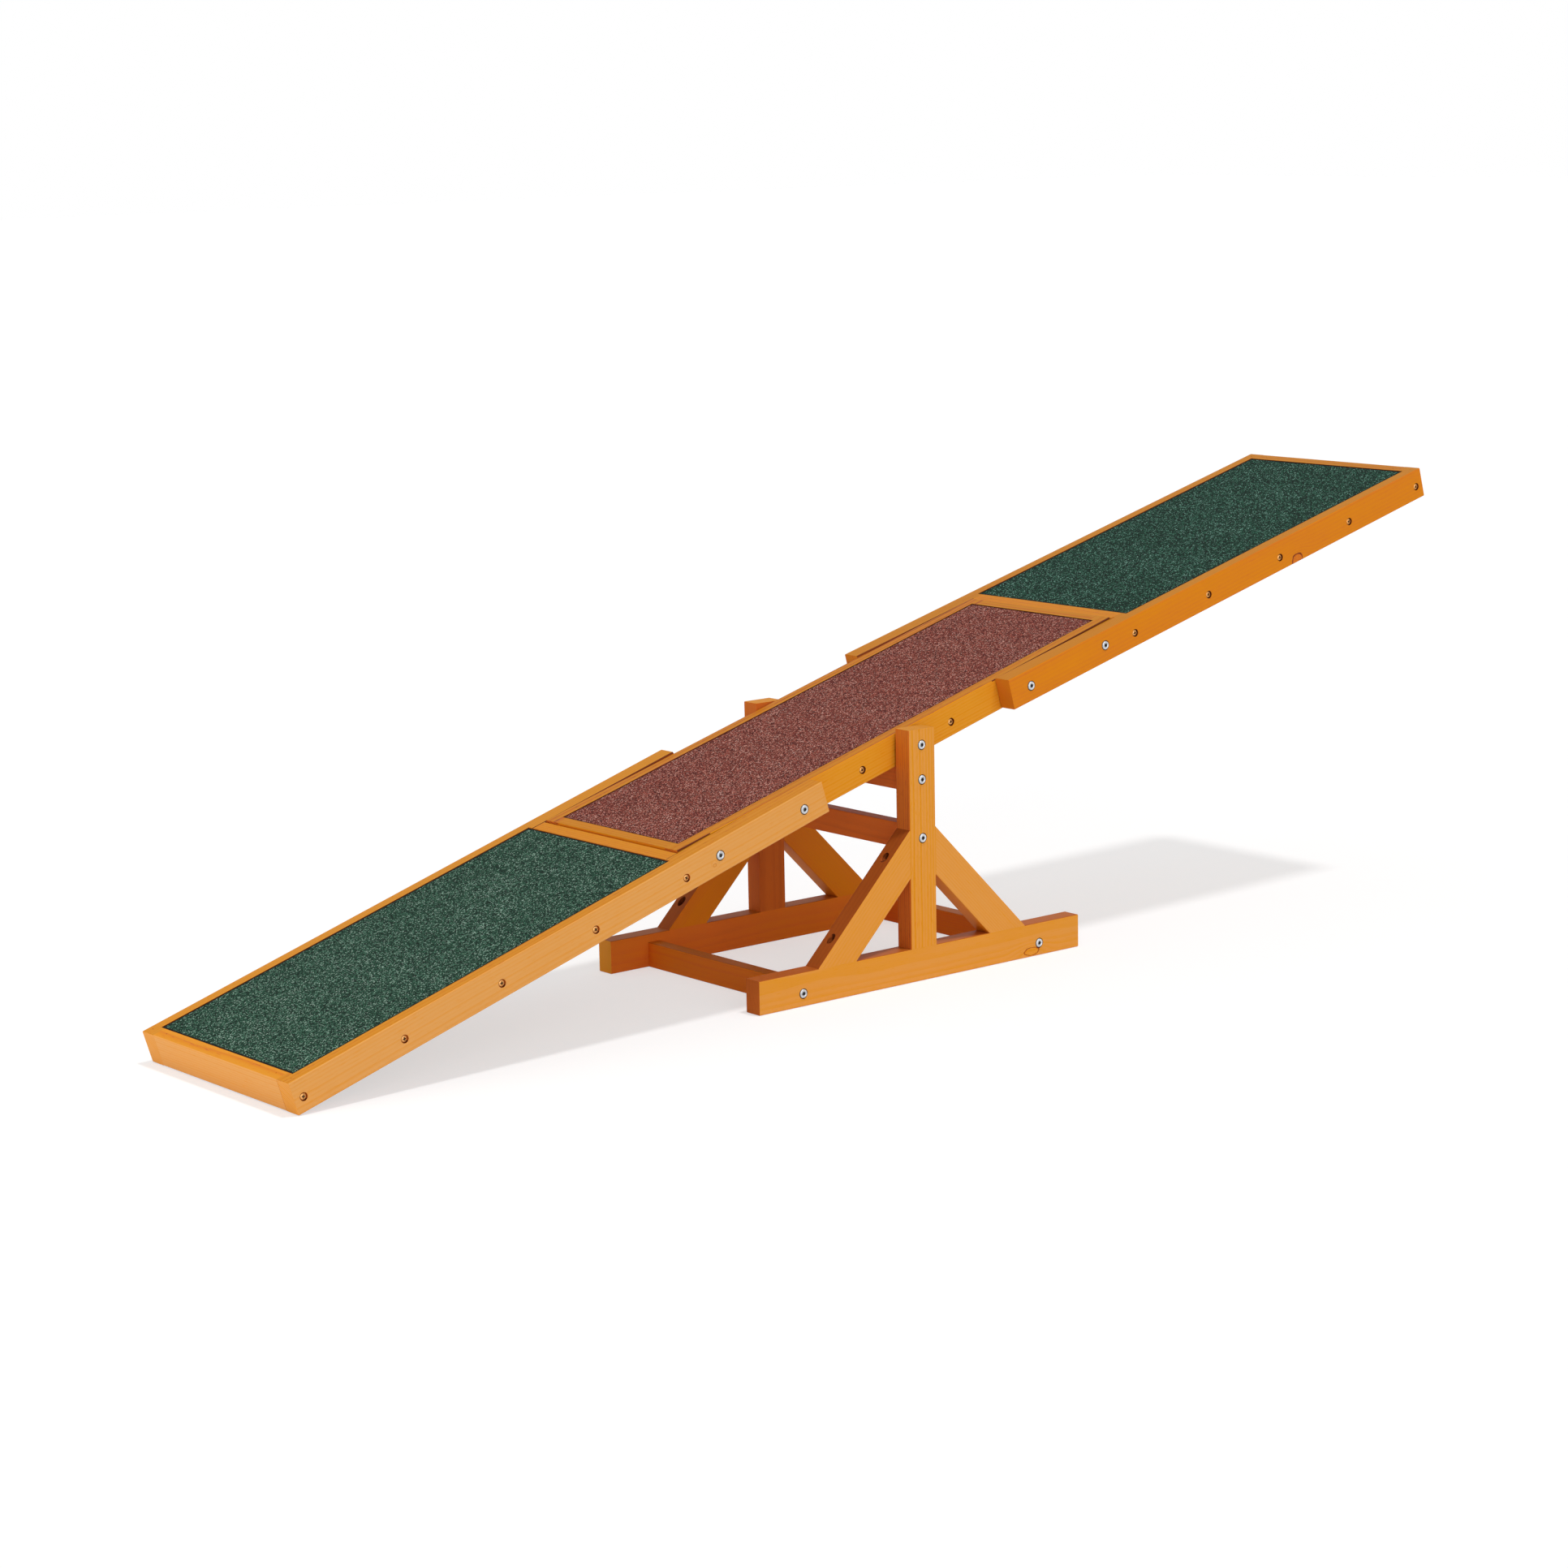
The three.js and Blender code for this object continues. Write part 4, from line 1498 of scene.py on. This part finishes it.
def spacer(node):
    low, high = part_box(node)
    outer = (high.z - low.z) / 2 / mm
    half = (high.y - low.y) / 2 / mm
    under = [(bore_radius, -half + spacer_break), (bore_radius + spacer_break, -half),
             (outer - spacer_break, -half), (outer, -half + spacer_break)]
    profile = under + [(radius, -height) for radius, height in reversed(under)] + under[:1]
    ring = turned(node + "_zinc", profile, round_sides)
    add_grime_and_shade(ring, lambda radius, height: spacer_dirt)
    move(ring, Matrix.Translation((low + high) / 2) @ facing(front))
    smooth(ring, metal_crease)
    return hand_over(ring, "trestle", "zinc_steel", zinc, node)


for side in sides:
    spacer(side + "_pivot_spacer")
print("spacers: 2")

# %% [markdown]
# ## Wood screws
# A countersunk screw has a shallow domed head with a cross recess, a tapered neck, and a thread
# that winds down to a point. It is turned whole, although only the head shows, because a screw
# that is only a disc looks wrong as soon as someone takes the model apart.

# %% Wood screw
# Radius and depth along the head and the neck
screw_head = [(0, 0), (1.4, 0.05), (2.8, 0.30), (3.4, 0.62), (3.5, 0.8), (3.4, 1.0)]
screw_neck = [(2.0, 3.6), (1.9, 4.6)]
screw_sides = 24
screw_length = 40.0
screw_shank = 1.9
screw_root = 1.35
screw_thread_from = 10.0
screw_pitch = 1.5
screw_tip = 7
screw_tip_radius = 1.2
cross_width = 1.6
cross_reach = 2.7
cross_depth = 1.6
cross_above = 1.5
cross_taper = (0.6, 0.8, 1)
cross_floor = 0.45
head_edge = 0.95
# How far the painted shade spreads from the cross, and from the very middle
cross_shade, middle_shade = 0.1, 0.3


def cross_punch():
    """Two blades that cross and narrow towards their tip."""
    blades = []
    for turn in (0, math.pi / 2):
        low = Vector((-cross_reach, -cross_width / 2, -cross_above)) * mm
        high = Vector((cross_reach, cross_width / 2, cross_depth)) * mm
        blade = block("blade", low, high)
        with edit_mode(blade):
            pick("faces", looks_up)
            bpy.ops.transform.resize(value=cross_taper)
        blades.append(move(blade, Matrix.Rotation(turn, 4, "Z")))
    cross = blades[0]
    cut(cross, blades[1], "UNION")
    discard(blades[1])
    return cross


def grime_and_shade_on_screw(radius, height):
    # The cross, the very middle and the rim of the head are painted dark as shade.
    in_cross = radius < cross_reach + cross_shade and height > cross_floor
    return 1.0 if in_cross or height > head_edge or radius < middle_shade else 0.0


def wood_screw():
    height = screw_thread_from
    profile = screw_head + screw_neck + [(screw_shank, height)]
    while height < screw_length - screw_tip:
        profile += [(screw_root, height + screw_pitch / 3),
                    (screw_root, height + 2 * screw_pitch / 3), (screw_shank, height + screw_pitch)]
        height += screw_pitch
    profile += [(screw_tip_radius, height + screw_pitch), (0, screw_length)]
    screw = turned("wood_screw", profile, screw_sides)
    punch = cross_punch()
    cut(screw, punch)
    discard(punch)
    smooth(screw, screw_crease)
    add_grime_and_shade(screw, grime_and_shade_on_screw)
    return screw


screw_pattern = wood_screw()
print("screw of", len(screw_pattern.data.polygons), "faces")

# %% Place the screws
screw_sunk = 0.8 * mm
screw_proud = 1.6 * mm


def place_screw(name, body, at, *turns):
    """Drives a copy of the screw, with its cross turned at random."""
    turn = Matrix.Rotation(spin.uniform(0, math.pi / 2), 4, "Z")
    screw = copy_to(screw_pattern, name, at, *turns, turn)
    hand_over(screw, body, "zinc_steel", yellow_zinc)


for number, screw in enumerate(screws, 1):
    inward = Vector((0, screw["side"] * screw_sunk, 0))
    place_screw(f"{screw['section']}_rail_screw_{number:02d}", "plank", screw["at"] + inward,
                facing(screw["side"]))
for node in braces:
    for number, (at, way) in enumerate(pocket_places(node), 1):
        out = Matrix.Translation((0, 0, screw_proud))
        place_screw(f"{node}_screw_{number}", "trestle", at, way, out, upside_down)
discard(screw_pattern)
print("screws placed:", len(screws) + 2 * len(braces))

# %% [markdown]
# ## Floor and light
# The seesaw stands on a white studio floor. White here is not a bright lamp but the floor's own
# look to the camera: part of it is lit and takes the shadow, and the rest is a constant glow, so
# that full light comes out as exactly white while the shadow stays a soft grey. A high sun with a
# wide disc is the soft key light, and a very wide one from the camera's side fills the front. A
# small lit panel beside the low end of the plank brightens the boards there.

# %% Floor
floor_size = 60
floor_drop = 0.4 * mm
plain_grey = 0.8
lit_share = 0.45
glow_strength = 0.585


def grey(level):
    return level, level, level, 1


def white_floor():
    """A plane that looks white, but throws light back at the pieces like a plain light grey."""
    bpy.ops.mesh.primitive_plane_add(size=floor_size, location=(0, 0, -floor_drop))
    floor = bpy.context.active_object
    floor.name = "studio_floor"
    bpy.ops.object.transform_apply(location=True, rotation=True, scale=True)
    paint = Finish("white_floor")
    paint.set(base_color=grey(plain_grey), roughness=0.9, specular_ior_level=0.0)
    lit = paint.node("BsdfDiffuse", {}, {"Color": grey(lit_share)})
    glow = paint.node("Emission", {}, {"Color": grey(1), "Strength": glow_strength})
    white = paint.node("AddShader", {}, {0: lit, 1: glow})
    plain = Wire(paint, paint.shader.outputs[0])
    chosen = paint.node("MixShader", {}, {0: paint.seen(), 1: plain, 2: white})
    paint.feed(paint.tree.nodes["Material Output"].inputs["Surface"], chosen)
    floor.data.materials.append(paint.owner)
    return floor


floor = white_floor()
print("floor", tuple(round(d, 1) for d in floor.dimensions))

# %% Lights
world_strength = 0.43
key_strength = 1.40
key_angle = math.radians(6)
key_from = Vector((0.13, -0.20, 0.97))
fill_strength = 1.09
fill_angle = math.radians(60)
fill_from = Vector((-0.22, -0.93, 0.28))
panel_power = 3.6
panel_size = 0.5
panel_at = Vector((-1.75, 0.10, 0.20))
panel_aim = Vector((-0.88, 0.0, 0.05))


def sun(name, strength, angle, comes_from):
    bpy.ops.object.light_add(type="SUN")
    lamp = bpy.context.active_object
    lamp.name = name
    lamp.data.energy = strength
    lamp.data.angle = angle
    lamp.rotation_euler = comes_from.to_track_quat("Z", "Y").to_euler()
    return lamp


def soft_panel(name, power, size, at, aim):
    bpy.ops.object.light_add(type="AREA", location=at)
    lamp = bpy.context.active_object
    lamp.name = name
    lamp.data.shape = "SQUARE"
    lamp.data.size = size
    lamp.data.energy = power
    lamp.rotation_euler = (at - aim).to_track_quat("Z", "Y").to_euler()
    return lamp


def studio_world():
    """A sky that lights at one strength and looks plain white to the camera."""
    sky = Finish("studio", bpy.data.worlds, "Background")
    level = sky.between(sky.seen(), 0.0, 1.0, world_strength, 1.0, smooth=False)
    sky.set(color=grey(1), strength=level)
    bpy.context.scene.world = sky.owner


sun("key_light", key_strength, key_angle, key_from)
sun("fill_light", fill_strength, fill_angle, fill_from)
soft_panel("end_light", panel_power, panel_size, panel_at, panel_aim)
studio_world()
bpy.context.scene.view_settings.view_transform = "Standard"
print("three lamps and a white world")
